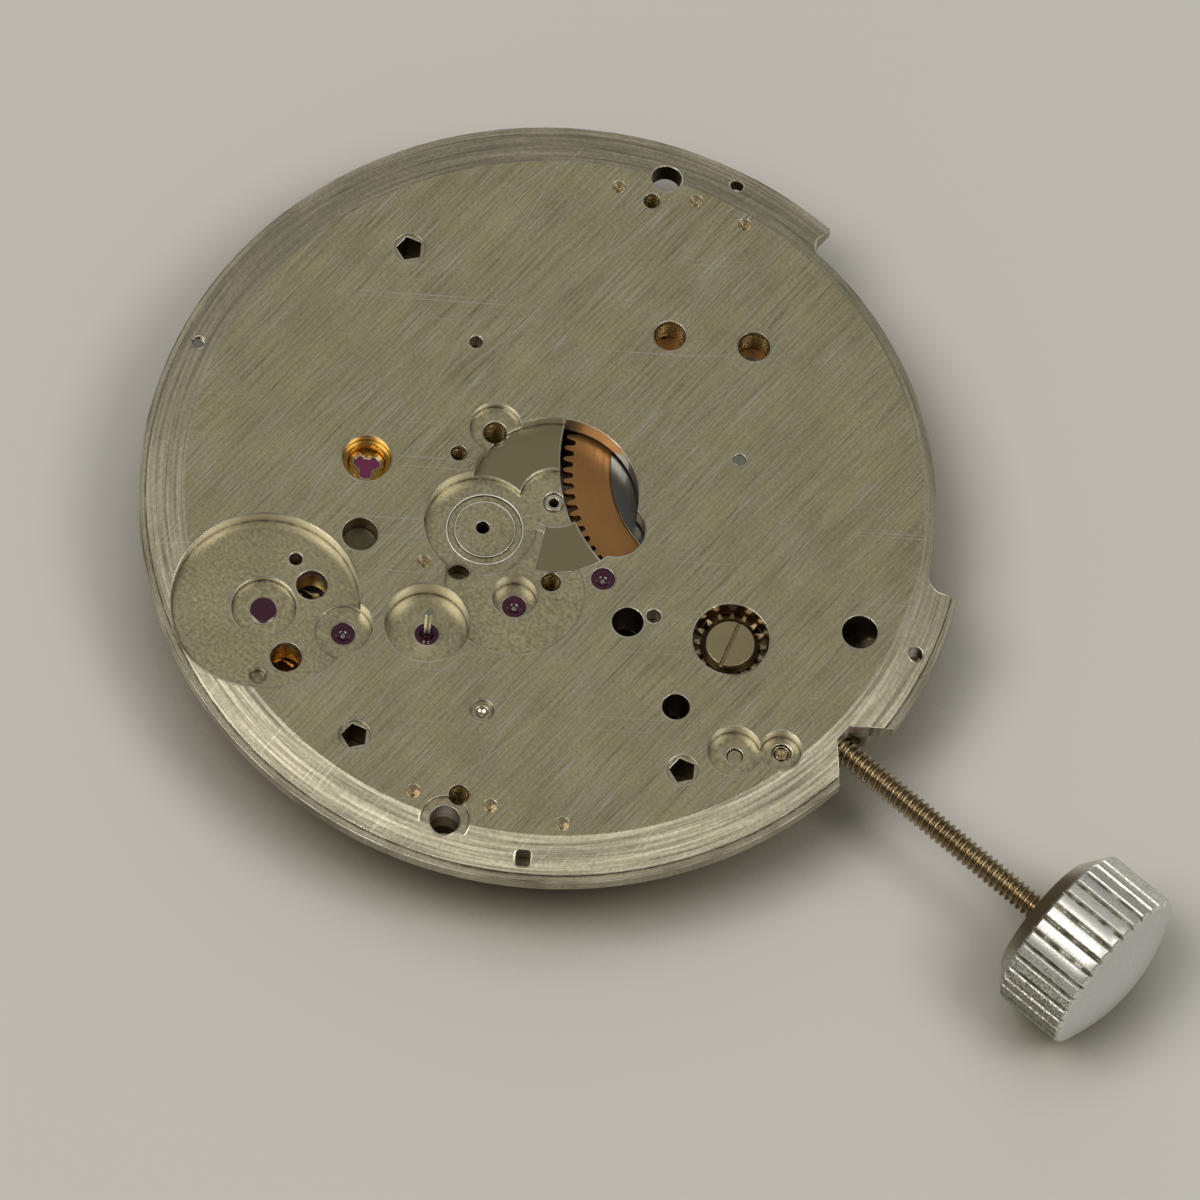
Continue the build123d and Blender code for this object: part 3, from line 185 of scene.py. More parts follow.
def newMaterial(name, **settings):
    material = bpy.data.materials.new(name)
    material.use_nodes = True
    tree = material.node_tree
    tree.nodes.clear()
    out = tree.nodes.new("ShaderNodeOutputMaterial")
    shader = tree.nodes.new("ShaderNodeBsdfPrincipled")
    tree.links.new(shader.outputs[0], out.inputs[0])
    for label, value in settings.items():
        shader.inputs[label].default_value = value
    return material, tree, shader


def dressShader(tree, shader, colour, rough, relief, strength, depth, normal):
    inputs = {"Height": relief, "Strength": strength, "Distance": depth * mm, "Normal": normal}
    bump = addNode(tree, "Bump", inputs)
    tree.links.new(colour, shader.inputs["Base Color"])
    tree.links.new(rough, shader.inputs["Roughness"])
    tree.links.new(bump.outputs[0], shader.inputs["Normal"])


# Shared effects, with scales per metre
brushing = {"scale": (9000.0, 240.0, 200.0), "coarseShare": 0.6, "hairShare": 0.4,
            "hairs": (2.7, 1.9, 1.0), "scratches": (2.2, 1.5, 1.0), "scratchFrom": (0.70, 0.76),
            "strays": ((0.16, 0.9), (-0.22, 0.7), (0.9, 0.5)), "strayWidth": 1.9, "strayFrom": (0.77, 0.82)}


def makeStraightBrushing(shape):
    # two layers of fine parallel marks, and the longer bright scratches among them
    tree, _, end = newGroup("straightBrushing", [], [("Marks", "Float"), ("Scratches", "Float")])
    place = objectPlace(tree)
    coarse = vectorMaths(tree, "MULTIPLY", place, shape["scale"])
    marks = times(tree, noise(tree, coarse, detail=4.0, roughness=0.75), shape["coarseShare"])
    fine = vectorMaths(tree, "MULTIPLY", coarse, shape["hairs"])
    hairs = times(tree, noise(tree, fine), shape["hairShare"])
    rare = vectorMaths(tree, "MULTIPLY", coarse, shape["scratches"])
    scratches = ramp(tree, noise(tree, rare, detail=0.0), *shape["scratchFrom"])
    for angle, share in shape["strays"]:
        across = vectorMaths(tree, "MULTIPLY", turnFlat(tree, place, angle), shape["scale"])
        longer = vectorMaths(tree, "MULTIPLY", across, (shape["strayWidth"], share, 1.0))
        strays = ramp(tree, noise(tree, longer, detail=0.0), *shape["strayFrom"])
        scratches = maths(tree, "MAXIMUM", scratches, strays)
    return endGroup(tree, end, Marks=maths(tree, "ADD", marks, hairs), Scratches=scratches)


def makeTurnedMarks():
    # rings about a centre, broken up on their way round
    inputs = [("Centre", "Vector", (0.0, 0.0, 0.0)), ("Rings", "Float", 22000.0), ("Length", "Float", 3.0)]
    tree, start, end = newGroup("turnedMarks", inputs, [("Marks", "Float")])
    flat = flatten(tree, vectorMaths(tree, "SUBTRACT", objectPlace(tree), start["Centre"]))
    heading = vectorMaths(tree, "NORMALIZE", flat)
    around = addNode(tree, "VectorMath", {0: heading, "Scale": start["Length"]}, operation="SCALE")
    sides = split(tree, around.outputs[0])
    rings = times(tree, vectorMaths(tree, "LENGTH", flat, out="Value"), start["Rings"])
    coords = addNode(tree, "CombineXYZ", {"X": sides["X"], "Y": sides["Y"], "Z": rings}).outputs[0]
    return endGroup(tree, end, Marks=noise(tree, coords, detail=4.0, roughness=0.7))


def makeSoftEdges():
    # a rounded normal at the corners, and a mask of where they are
    inputs = [("Radius", "Float", 0.03 * mm)]
    tree, start, end = newGroup("softEdges", inputs, [("Edge", "Float"), ("Normal", "Vector")])
    soft = addNode(tree, "Bevel", {"Radius": start["Radius"]}, samples=6).outputs[0]
    plain = addNode(tree, "NewGeometry").outputs["Normal"]
    match = vectorMaths(tree, "DOT_PRODUCT", soft, plain, out="Value")
    return endGroup(tree, end, Edge=ramp(tree, match, 0.995, 0.80), Normal=soft)


def makeFineGrain():
    # a fine grain, and wide clouds that are this much coarser
    coarser = 0.06
    inputs = [("Scale", "Float", 9000.0), ("Detail", "Float", 3.0)]
    tree, start, end = newGroup("fineGrain", inputs, [("Grain", "Float"), ("Clouds", "Float")])
    place = objectPlace(tree)
    grain = noise(tree, place, start["Scale"], start["Detail"])
    clouds = noise(tree, place, times(tree, start["Scale"], coarser))
    return endGroup(tree, end, Grain=grain, Clouds=clouds)


def makeCornerDirt():
    # painted shade and dirt close to the corners, from occlusion broken up by noise, and a wider mask of
    # painted shade in narrow hollows
    inputs = [("Reach", "Float", 0.09 * mm)]
    tree, start, end = newGroup("cornerDirt", inputs, [("Dirt", "Float"), ("Hollow", "Float")])
    near = ramp(tree, occlusion(tree, start["Reach"]), 0.86, 0.50)
    wide = ramp(tree, occlusion(tree, 0.6 * mm), 0.62, 0.25)
    patchy = ramp(tree, noise(tree, objectPlace(tree), 2600.0, 3.0), 0.30, 0.60)
    return endGroup(tree, end, Dirt=times(tree, near, patchy), Hollow=wide)


straightBrushing = makeStraightBrushing(brushing)
turnedMarks = makeTurnedMarks()
softEdges = makeSoftEdges()
fineGrain = makeFineGrain()
cornerDirt = makeCornerDirt()
print("effects made")

# Nickel of the plate, with places in millimetres. A shade is two ends of its pattern, then what they give
nickel = {
    "flat": (0.50, 0.455, 0.285, 1),
    "ring": (0.425, 0.395, 0.285, 1),
    "wall": (0.78, 0.735, 0.68, 1),
    "hole": (0.22, 0.165, 0.085, 1),
    "amber": (0.60, 0.38, 0.075, 1),
    # painted shade in narrow hollows
    "dark": (0.085, 0.075, 0.045, 1),
    "dimple": (0.60, 0.51, 0.37, 1),
    # painted shade and dirt in the corners, also the colour of the painted dark reflection line
    "shadeAndDirt": (0.060, 0.036, 0.016, 1),
    "bright": (0.95, 0.93, 0.84, 1),
    "milled": (0.225, 0.205, 0.115, 1),
    "shaded": (0.185, 0.125, 0.062, 1),
    "brushedShade": (0.30, 0.70, 0.34, 1.60),
    "turnedShade": (0.30, 0.70, 0.50, 1.35),
    "floorShade": (0.2, 0.8, 0.82, 0.98),
    "cloudShade": (0.3, 0.7, 0.90, 1.06),
    "fleckShade": (0.25, 0.75, 0.80, 1.20),
    "darkLineShade": (0.40, 0.54, 0.70, 1.0),
    "brushedRough": (0.3, 0.7, 0.44, 0.26),
    "turnedRough": (0.3, 0.7, 0.64, 0.45),
    "floorRough": (0.3, 0.7, 0.32, 0.42),
    "milledRough": 0.46,
    "wallRough": 0.36,
    "coneRough": 0.23,
    "scratchRough": 0.22,
    "scratchShare": 0.7,
    "ringScratches": 0.6, # how much fewer the ring has
    "shadeAndDirtShare": 0.95,
    "shadeAndDirtReach": 0.12,
    "relief": 0.5,
    "reliefDepth": 0.008,
    "floorRelief": 0.5,
    "levelSlope": (0.40, 0.50), # the normal's upright share on faces that aren't walls
    "coneSlope": (0.90, 0.80),
    "coneCover": 0.7,
    "ringFrom": (12.035, 12.045),
    "wallsWithin": (12.9, 12.8),
    "floorFrom": (-0.012, -0.028),
    "deepFrom": (-0.86, -1.05),
    # the line below is a painted dark reflection
    "darkReflectionLine": (-0.775, 0.03), # height and reach of the line along the recesses' walls
    "recess": ((-4.4145, -9.1395), 3.08),
    "recessMarks": (-4.41, -9.14),
    "windowRight": 1.0,
    "windowWithin": (3.36, 3.35),
    "thirdSeat": 1.1,
    "millings": ((-0.45, 2.745), (-0.04, 2.745)), # height and reach
    "millingTolerance": 0.004,
    "darkHoles": ((settingAt, 1.28), ((-3.726, -5.3325), 0.62), ((10.503, 3.0105), 0.62),
                  ((-0.567, -4.0635), 0.42), ((-9.3555, 3.456), 0.47), ((0.864, -10.7595), 0.47),
                  ((9.4635, -4.536), 0.47), ((4.725, -1.809), 0.55), ((7.8435, -3.0105), 0.48),
                  ((-4.833, 11.097), 0.52)),
}


def plateMasks(tree, shape):
    # where each kind of surface lies, told by place, height and slope
    place = objectPlace(tree)
    parts = split(tree, place)
    flat = flatten(tree, place)
    radius = vectorMaths(tree, "LENGTH", flat, out="Value")
    normal = addNode(tree, "NewGeometry").outputs["Normal"]
    facing = maths(tree, "ABSOLUTE", split(tree, normal)["Z"])
    level = ramp(tree, facing, *shape["levelSlope"])
    recessed = isNear(tree, flat, *shape["recess"])
    rim = maths(tree, "SUBTRACT", spanRamp(tree, radius, shape["ringFrom"]), recessed, clamp=True)
    milled = 0.0
    for depth, reach in shape["millings"]:
        atDepth = maths(tree, "COMPARE", parts["Z"], depth * mm, shape["millingTolerance"] * mm)
        within = maths(tree, "LESS_THAN", radius, reach * mm)
        milled = maths(tree, "MAXIMUM", milled, times(tree, atDepth, within))
    shaded = maths(tree, "GREATER_THAN", parts["X"], shape["windowRight"] * mm)
    shaded = times(tree, shaded, spanRamp(tree, radius, shape["windowWithin"]))
    shaded = times(tree, shaded, invert(tree, isNear(tree, flat, thirdAt, shape["thirdSeat"])))
    for at, reach in shape["darkHoles"]:
        shaded = maths(tree, "MAXIMUM", shaded, isNear(tree, flat, at, reach))
    return {
        "height": parts["Z"],
        "recessed": recessed,
        "rim": rim,
        "floor": times(tree, spanRamp(tree, parts["Z"], shape["floorFrom"]), invert(tree, rim)),
        "milled": milled,
        "shaded": shaded,
        "walls": times(tree, invert(tree, level), spanRamp(tree, radius, shape["wallsWithin"])),
        "cones": times(tree, level, ramp(tree, facing, *shape["coneSlope"])),
    }


def plateWall(tree, shape, masks, clouds):
    # pale walls, darker deep down, with painted shade in the window and in narrow holes, and a painted dark
    # reflection line along the recesses' walls
    deep = spanRamp(tree, masks["height"], shape["deepFrom"])
    inHole = mixColour(tree, masks["recessed"], shape["hole"], shape["amber"])
    wall = mixColour(tree, deep, shape["wall"], inHole)
    wall = mixColour(tree, masks["shaded"], wall, shape["shaded"])
    # painted dark reflection line, broken up by clouds
    lineHeight, lineReach = shape["darkReflectionLine"]
    away = maths(tree, "ABSOLUTE", maths(tree, "SUBTRACT", masks["height"], lineHeight * mm))
    line = spanRamp(tree, away, (lineReach, lineReach * 0.7))
    line = times(tree, line, ramp(tree, clouds, *shape["darkLineShade"]))
    return mixColour(tree, line, wall, shape["shadeAndDirt"])


def makePlateFinish(shape):
    material, tree, shader = newMaterial("nickelPlate", Metallic=1.0)
    masks = plateMasks(tree, shape)
    rim, floor, walls, cones = (masks[name] for name in ("rim", "floor", "walls", "cones"))
    brush = useGroup(tree, straightBrushing)
    ringMarks = useGroup(tree, turnedMarks, {"Rings": 9000.0, "Length": 2.2})["Marks"]
    inputs = {"Centre": inMetres(shape["recessMarks"]), "Rings": 12000.0, "Length": 1.2}
    recessMarks = useGroup(tree, turnedMarks, inputs)["Marks"]
    grain = useGroup(tree, fineGrain)
    edges = useGroup(tree, softEdges)
    shadeAndDirt = useGroup(tree, cornerDirt, {"Reach": shape["shadeAndDirtReach"] * mm})
    scratchShare = maths(tree, "SUBTRACT", shape["scratchShare"], times(tree, rim, shape["ringScratches"]))
    scratch = times(tree, times(tree, brush["Scratches"], invert(tree, floor)), scratchShare)

    brushed = ramp(tree, brush["Marks"], *shape["brushedShade"])
    turned = ramp(tree, ringMarks, *shape["turnedShade"])
    shade = mixColour(tree, rim, brushed, turned)
    shade = mixColour(tree, floor, shade, ramp(tree, recessMarks, *shape["floorShade"]))
    colour = mixColour(tree, rim, shape["flat"], shape["ring"])
    colour = tint(tree, colour, shade)
    colour = tint(tree, colour, ramp(tree, grain["Clouds"], *shape["cloudShade"]))
    colour = tint(tree, colour, ramp(tree, grain["Grain"], *shape["fleckShade"]))
    colour = mixColour(tree, masks["milled"], colour, shape["milled"])
    colour = mixColour(tree, scratch, colour, shape["bright"])
    colour = mixColour(tree, walls, colour, plateWall(tree, shape, masks, grain["Clouds"]))
    colour = mixColour(tree, cones, colour, shape["dimple"])
    # painted shade in narrow hollows, kept off walls and cones, then painted shade and dirt close to the
    # corners
    bare = invert(tree, maths(tree, "MAXIMUM", walls, times(tree, cones, shape["coneCover"])))
    colour = mixColour(tree, times(tree, shadeAndDirt["Hollow"], bare), colour, shape["dark"])
    colour = mixColour(tree, times(tree, shadeAndDirt["Dirt"], shape["shadeAndDirtShare"]), colour, shape["shadeAndDirt"])

    rough = ramp(tree, brush["Marks"], *shape["brushedRough"])
    rough = mixColour(tree, floor, rough, ramp(tree, grain["Grain"], *shape["floorRough"]))
    rough = mixColour(tree, rim, rough, ramp(tree, ringMarks, *shape["turnedRough"]))
    for name, mask in (("milled", masks["milled"]), ("wall", walls), ("cone", cones), ("scratch", scratch)):
        rough = mixColour(tree, mask, rough, grey(shape[name + "Rough"]))
    relief = mixColour(tree, rim, brush["Marks"], ringMarks)
    relief = mixColour(tree, floor, relief, times(tree, recessMarks, shape["floorRelief"]))
    dressShader(tree, shader, colour, rough, relief, shape["relief"], shape["reliefDepth"], edges["Normal"])
    return material


# Other metals
metal = {"edge": 0.5, "edgeGain": 1.25, "relief": 0.25, "reliefDepth": 0.004, "colourSpan": (0.3, 0.7),
         "cloudShade": (0.3, 0.7, 0.9, 1.05), "roughSpan": (0.25, 0.75), "roughest": 1.25, "smoothest": 0.8,
         "deepShade": (0.07, 0.06, 0.045, 1), "deepShadeFade": 0.1, "innerShade": (0.055, 0.035, 0.018, 1), "innerShadeFade": 0.05}


def makeMetal(name, colour, dark, roughness, marks="grain", centre=(0, 0), edgeColour=None, shadeAndDirt=0.6,
              deepShadeFrom=None, innerShadeWithin=None):
    # a plain metal with its own tool marks, brighter where its corners are worn
    material, tree, shader = newMaterial(name, Metallic=1.0)
    grain = useGroup(tree, fineGrain)
    edges = useGroup(tree, softEdges)
    pattern = grain["Clouds"] if marks == "patchy" else grain["Grain"]
    if marks == "straight":
        pattern = useGroup(tree, straightBrushing)["Marks"]
    elif marks == "turned":
        pattern = useGroup(tree, turnedMarks, {"Centre": inMetres(centre)})["Marks"]
    base = mixColour(tree, ramp(tree, pattern, *metal["colourSpan"]), dark, colour)
    base = tint(tree, base, ramp(tree, grain["Clouds"], *metal["cloudShade"]))
    worn = edgeColour or tuple(min(1.0, c * metal["edgeGain"]) for c in colour[:3]) + (1,)
    base = mixColour(tree, times(tree, edges["Edge"], metal["edge"]), base, worn)
    # painted shade and dirt close to the corners
    cornerShadeAndDirtMask = useGroup(tree, cornerDirt)["Dirt"]
    base = mixColour(tree, times(tree, cornerShadeAndDirtMask, shadeAndDirt), base, nickel["shadeAndDirt"])
    place = objectPlace(tree)
    # painted shade from this height up
    if deepShadeFrom is not None: # dark from this height up
        deepShaded = spanRamp(tree, split(tree, place)["Z"], (deepShadeFrom - metal["deepShadeFade"], deepShadeFrom))
        base = mixColour(tree, deepShaded, base, metal["deepShade"])
    # painted shade inside this radius
    if innerShadeWithin is not None: # brown inside this radius
        away = distance(tree, flatten(tree, place), centre)
        core = spanRamp(tree, away, (innerShadeWithin, innerShadeWithin - metal["innerShadeFade"]))
        base = mixColour(tree, core, base, metal["innerShade"])
    rough = ramp(tree, pattern, *metal["roughSpan"], roughness * metal["roughest"],
                 roughness * metal["smoothest"])
    dressShader(tree, shader, base, rough, pattern, metal["relief"], metal["reliefDepth"], edges["Normal"])
    return material


def makeRuby(name, deep, light):
    material, tree, shader = newMaterial(name, Roughness=0.07, IOR=1.70)
    grain = useGroup(tree, fineGrain, {"Scale": 3000.0})
    tree.links.new(mixColour(tree, grain["Clouds"], deep, light), shader.inputs["Base Color"])
    return material


# Chrome of the crown, with its places along the stem and across it
chrome = {
    "dull": (0.64, 0.635, 0.59, 1),
    "bright": (0.94, 0.93, 0.86, 1),
    "endFace": (0.66, 0.68, 0.68, 1),
    "edge": (0.94, 0.94, 0.90, 1),
    # painted shade and dirt in the grooves
    "shadeAndDirt": (0.17, 0.145, 0.075, 1),
    # painted shade on one side of the crown
    "sideShade": (0.13, 0.12, 0.085, 1),
    # painted dark reflection on the chamfer
    "chamfer": (0.24, 0.20, 0.125, 1),
    "endFaceFrom": (24.02, 24.12),
    "sideShadeUntil": (24.05, 23.95),
    "sideShadeFrom": (-1.35, -2.05),
    "sideShadeUneven": 1.6,
    "chamferUntil": (21.66, 21.58),
    "chamferReflectionMiddle": -0.7,
    "chamferReflectionFade": (2.0, 1.3),
    "sandScale": 14000.0,
    "sandSpan": (0.35, 0.65),
    "roughness": (0.3, 0.7, 0.50, 0.32),
    "endFaceShare": 0.8,
    "edgeShare": 0.6,
    "shadeAndDirtShare": 0.75,
    "sideShadeShare": 0.85,
    "relief": 0.3,
    "reliefDepth": 0.008,
}


def makeChrome(shape):
    # plated, with a sandy grain, dirt and painted shade in the grooves, a painted dark reflection on the
    # chamfer and painted shade on one side
    material, tree, shader = newMaterial("crownChrome", Metallic=1.0)
    sand = useGroup(tree, fineGrain, {"Scale": shape["sandScale"], "Detail": 2.0})["Grain"]
    edges = useGroup(tree, softEdges, {"Radius": 0.025 * mm})
    # painted shade and dirt in the grooves, from occlusion
    shadeAndDirt = useGroup(tree, cornerDirt, {"Reach": 0.30 * mm})["Dirt"]
    place = split(tree, objectPlace(tree))
    along, across = place["X"], place["Y"]
    endFace = spanRamp(tree, along, shape["endFaceFrom"])
    uneven = maths(tree, "ADD", across, times(tree, sand, shape["sideShadeUneven"] * mm))
    sideShade = spanRamp(tree, uneven, shape["sideShadeFrom"]) # painted shade on the crown's side towards -Y
    sideShade = times(tree, sideShade, spanRamp(tree, along, shape["sideShadeUntil"]))
    # painted dark reflection on the chamfer, strongest in a band about a fixed distance across the stem,
    # fading to a quarter outside it, and kept off the edges
    fromMiddle = maths(tree, "ABSOLUTE", maths(tree, "SUBTRACT", across, shape["chamferReflectionMiddle"] * mm))
    chamfer = spanRamp(tree, fromMiddle, shape["chamferReflectionFade"], 0.25, 1.0)
    chamfer = times(tree, chamfer, spanRamp(tree, along, shape["chamferUntil"]))
    chamfer = times(tree, chamfer, ramp(tree, edges["Edge"], 0.6, 0.2))
    base = mixColour(tree, ramp(tree, sand, *shape["sandSpan"]), shape["dull"], shape["bright"])
    for name, mask in (("endFace", endFace), ("edge", edges["Edge"]), ("shadeAndDirt", shadeAndDirt), ("sideShade", sideShade)):
        base = mixColour(tree, times(tree, mask, shape[name + "Share"]), base, shape[name])
    base = mixColour(tree, chamfer, base, shape["chamfer"])
    rough = ramp(tree, sand, *shape["roughness"])
    dressShader(tree, shader, base, rough, sand, shape["relief"], shape["reliefDepth"], edges["Normal"])
    return material


plateFinish = makePlateFinish(nickel)
finishes = {
    "bridge": makeMetal("bridgeNickel", (0.60, 0.56, 0.43, 1), (0.40, 0.37, 0.27, 1), 0.32, "straight"),
    "copper": makeMetal("barrelCopper", (0.40, 0.205, 0.075, 1), (0.29, 0.145, 0.05, 1), 0.42, "turned",
                        barrelAt),
    "gilt": makeMetal("giltWheel", (0.85, 0.50, 0.14, 1), (0.62, 0.34, 0.08, 1), 0.26),
    "giltBlock": makeMetal("giltSetting", (0.66, 0.38, 0.075, 1), (0.38, 0.20, 0.035, 1), 0.20, "turned",
                           balanceAt),
    "steel": makeMetal("polishedSteel", (0.52, 0.50, 0.44, 1), (0.38, 0.365, 0.31, 1), 0.22),
    "spring": makeMetal("springSteel", (0.30, 0.34, 0.44, 1), (0.20, 0.23, 0.33, 1), 0.25),
    "barrelSteel": makeMetal("barrelSteel", (0.22, 0.22, 0.205, 1), (0.14, 0.14, 0.13, 1), 0.24, "turned",
                             barrelAt),
    "screw": makeMetal("screwNickel", (0.44, 0.375, 0.22, 1), (0.34, 0.285, 0.155, 1), 0.34, shadeAndDirt=0.95),
    "stem": makeMetal("stemSteel", (0.47, 0.375, 0.23, 1), (0.25, 0.195, 0.115, 1), 0.28,
                      edgeColour=(0.80, 0.68, 0.50, 1)),
    "chrome": makeChrome(chrome),
    "ruby": makeRuby("ruby", (0.024, 0.002, 0.010, 1), (0.060, 0.006, 0.027, 1)),
    "shockRuby": makeRuby("shockRuby", (0.10, 0.008, 0.045, 1), (0.20, 0.022, 0.095, 1)),
    "burnish": makeMetal("burnishedEdge", (0.86, 0.81, 0.66, 1), (0.22, 0.18, 0.11, 1), 0.28, "patchy"),
    "springSteel": makeMetal("paleSpring", (0.50, 0.46, 0.34, 1), (0.38, 0.345, 0.24, 1), 0.26),
    "blued": makeMetal("screwSteel", (0.62, 0.62, 0.59, 1), (0.54, 0.54, 0.51, 1), 0.18, deepShadeFrom=-2.4),
    "toothed": makeMetal("settingSteel", (0.66, 0.56, 0.38, 1), (0.40, 0.31, 0.18, 1), 0.24,
                         centre=settingAt, innerShadeWithin=1.02),
    "threadBrass": makeMetal("threadBrass", (0.72, 0.60, 0.38, 1), (0.42, 0.33, 0.18, 1), 0.26, shadeAndDirt=0.95),
    "seat": makeMetal("seatEdge", (0.96, 0.94, 0.86, 1), (0.80, 0.78, 0.69, 1), 0.42, shadeAndDirt=0.0),
    # dark floors of holes: painted shade
    "shadedHoleFloor": makeMetal("shadedHoleFloor", (0.15, 0.138, 0.082, 1), (0.10, 0.09, 0.05, 1), 0.45),
    "drilled": makeMetal("drilledSeat", (0.74, 0.64, 0.47, 1), (0.50, 0.42, 0.28, 1), 0.16, "patchy",
                         shadeAndDirt=0.95),
    "post": makeMetal("postNickel", (0.46, 0.42, 0.27, 1), (0.38, 0.345, 0.21, 1), 0.36, shadeAndDirt=0.95),
    "giltPost": makeMetal("giltPost", (0.66, 0.55, 0.35, 1), (0.50, 0.40, 0.23, 1), 0.22, "turned", leverAt,
                          shadeAndDirt=0.95),
}
nodesWith = {
    "bridge": ("barrel_bridge", "train_bridge", "balance_cock", "pallet_cock"),
    "copper": ("barrel_drum",),
    "barrelSteel": ("barrel_cover",),
    "spring": ("mainspring", "hairspring"),
    "gilt": ("second_wheel", "third_wheel", "fourth_wheel", "fifth_wheel", "escape_wheel", "balance_wheel"),
    "giltBlock": ("lower_shock_block", "upper_shock_block"),
    "ruby": ("plate_jewels", "cap_jewel", "bridge_jewels", "upper_shock_jewels", "pallet_stones",
             "impulse_jewel"),
    "shockRuby": ("lower_shock_jewels",),
    "chrome": ("crown",),
    "stem": ("stem",),
    "screw": ("setting_wheel_screw",),
    "post": ("yoke_pin",),
    "toothed": ("setting_wheel",),
}
finishOf = {name: finishes[finish] for finish, names in nodesWith.items() for name in names}
finishOf["main_plate"] = plateFinish
for name, part in nodes.items():
    part.data.materials.clear()
    part.data.materials.append(finishOf.get(name, finishes["steel"]))
print("finishes given to", len(nodes), "parts")


# Mesh helpers
mergeDistance = 0.0005 * mm
tinyEdge = 0.0002 * mm
sharpAngle = math.radians(32)
turnedSteps = 64 # round a turned part


def addObject(name, data):
    thing = bpy.data.objects.new(name, data)
    bpy.context.scene.collection.objects.link(thing)
    return thing


def smoothMesh(mesh):
    mesh.shade_smooth()
    mesh.set_sharp_from_angle(angle=sharpAngle)


def newPiece(name, mesh, finish, body="movement"):
    piece = addObject(name, mesh)
    mesh.materials.append(finishes[finish])
    smoothMesh(mesh)
    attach(piece, body)
    return piece


def meshFrom(name, points, faces):
    # points in millimetres
    mesh = bpy.data.meshes.new(name)
    mesh.from_pydata([tuple(c * mm for c in point) for point in points], [], faces)
    mesh.validate()
    mesh.update()
    return mesh


def cleanMesh(mesh):
    work = bmesh.new()
    work.from_mesh(mesh)
    bmesh.ops.remove_doubles(work, verts=work.verts, dist=mergeDistance)
    bmesh.ops.dissolve_degenerate(work, edges=work.edges, dist=tinyEdge)
    bmesh.ops.recalc_face_normals(work, faces=work.faces)
    work.to_mesh(mesh)
    work.free()
    return mesh


def joinMeshes(name, shapes):
    # one mesh of several (points, faces) sets
    points, faces = [], []
    for newPoints, newFaces in shapes:
        first = len(points)
        points += newPoints
        faces += [tuple(first + k for k in face) for face in newFaces]
    return cleanMesh(meshFrom(name, points, faces))


def pieceFrom(name, shapes, finish, body="movement", instead=None):
    piece = newPiece(name, joinMeshes(name, shapes), finish, body)
    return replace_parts(piece, instead) if instead else piece


def angleOf(k, around):
    return 2 * math.pi * k / around


def onCircle(at, reach, turn, height):
    return at[0] + reach * math.cos(turn), at[1] + reach * math.sin(turn), height


def onStem(x, reach, turn):
    return x, reach * math.cos(turn), stemHeight + reach * math.sin(turn)


def rowFaces(rows, around):
    # quads between rows of points that each go once round
    faces = []
    for row in range(rows - 1):
        low, high = row * around, (row + 1) * around
        for k in range(around):
            after = (k + 1) % around
            faces.append((low + k, low + after, high + after, high + k))
    return faces


def loopFaces(columns, count):
    # quads between closed outlines of so many points, the last outline joined to the first
    faces = []
    for column in range(columns):
        low, high = column * count, (column + 1) % columns * count
        for k in range(count):
            after = (k + 1) % count
            faces.append((low + k, high + k, high + after, low + after))
    return faces


def lathePoints(profile, steps, at=(0, 0)):
    # a closed outline of (radius, height) in millimetres, turned about an upright axis
    points = []
    for step in range(steps):
        points += [onCircle(at, radius, angleOf(step, steps), height) for radius, height in profile]
    return points, loopFaces(steps, len(profile))


# Stem with its cut thread; the shoulders are (place along the stem, radius)
stemShape = {
    "shoulders": [(8.05, 0.0), (8.05, 0.24), (8.85, 0.24), (8.85, 0.31), (10.34, 0.31), (10.34, 0.42),
                  (11.14, 0.42), (11.14, 0.56), (11.18, 0.60), (11.50, 0.60), (11.52, 0.43), (11.76, 0.43),
                  (11.78, 0.60), (12.34, 0.60), (12.40, 0.54), (12.40, 0.36)],
    "squareHalf": 0.31,
    "squareCorner": 0.42,
    "threadStart": 12.42,
    "threadEnd": 21.0,
    "pitch": 0.225,
    "radius": 0.43,
    "depth": 0.115,
    "root": 0.12,
    "flank": 0.70,
    "ringsPerTurn": 10,
    "around": 28,
}


def stemReach(shape, x, radius, threaded, k):
    # how far the surface is from the stem's axis
    if threaded:
        turns = (x - shape["threadStart"]) / shape["pitch"]
        crest = abs(2 * ((turns - k / shape["around"]) % 1.0) - 1) # 1 at the crest, 0 in the root
        crest = min(1.0, max(0.0, (crest - shape["root"]) / shape["flank"]))
        return radius - shape["depth"] * (1 - crest) * min(1.0, turns)
    if radius == shape["squareHalf"]: # the square for the clutch
        turn = angleOf(k, shape["around"])
        return min(radius / max(abs(math.cos(turn)), abs(math.sin(turn))), shape["squareCorner"])
    return radius


def makeStem(shape):
    around = shape["around"]
    turns = (shape["threadEnd"] - shape["threadStart"]) / shape["pitch"]
    stations = [(x, radius, False) for x, radius in shape["shoulders"]]
    for row in range(int(turns * shape["ringsPerTurn"]) + 1):
        x = shape["threadStart"] + row * shape["pitch"] / shape["ringsPerTurn"]
        stations.append((x, shape["radius"], True))
    stations.append((stations[-1][0], 0.0, False))
    points = []
    for x, radius, threaded in stations:
        for k in range(around):
            points.append(onStem(x, stemReach(shape, x, radius, threaded, k), angleOf(k, around)))
    surface = points, rowFaces(len(stations), around)
    return pieceFrom("threadedStem", [surface], "stem", "winding_stem", "stem")


makeStem(stemShape)
print("stem threaded")

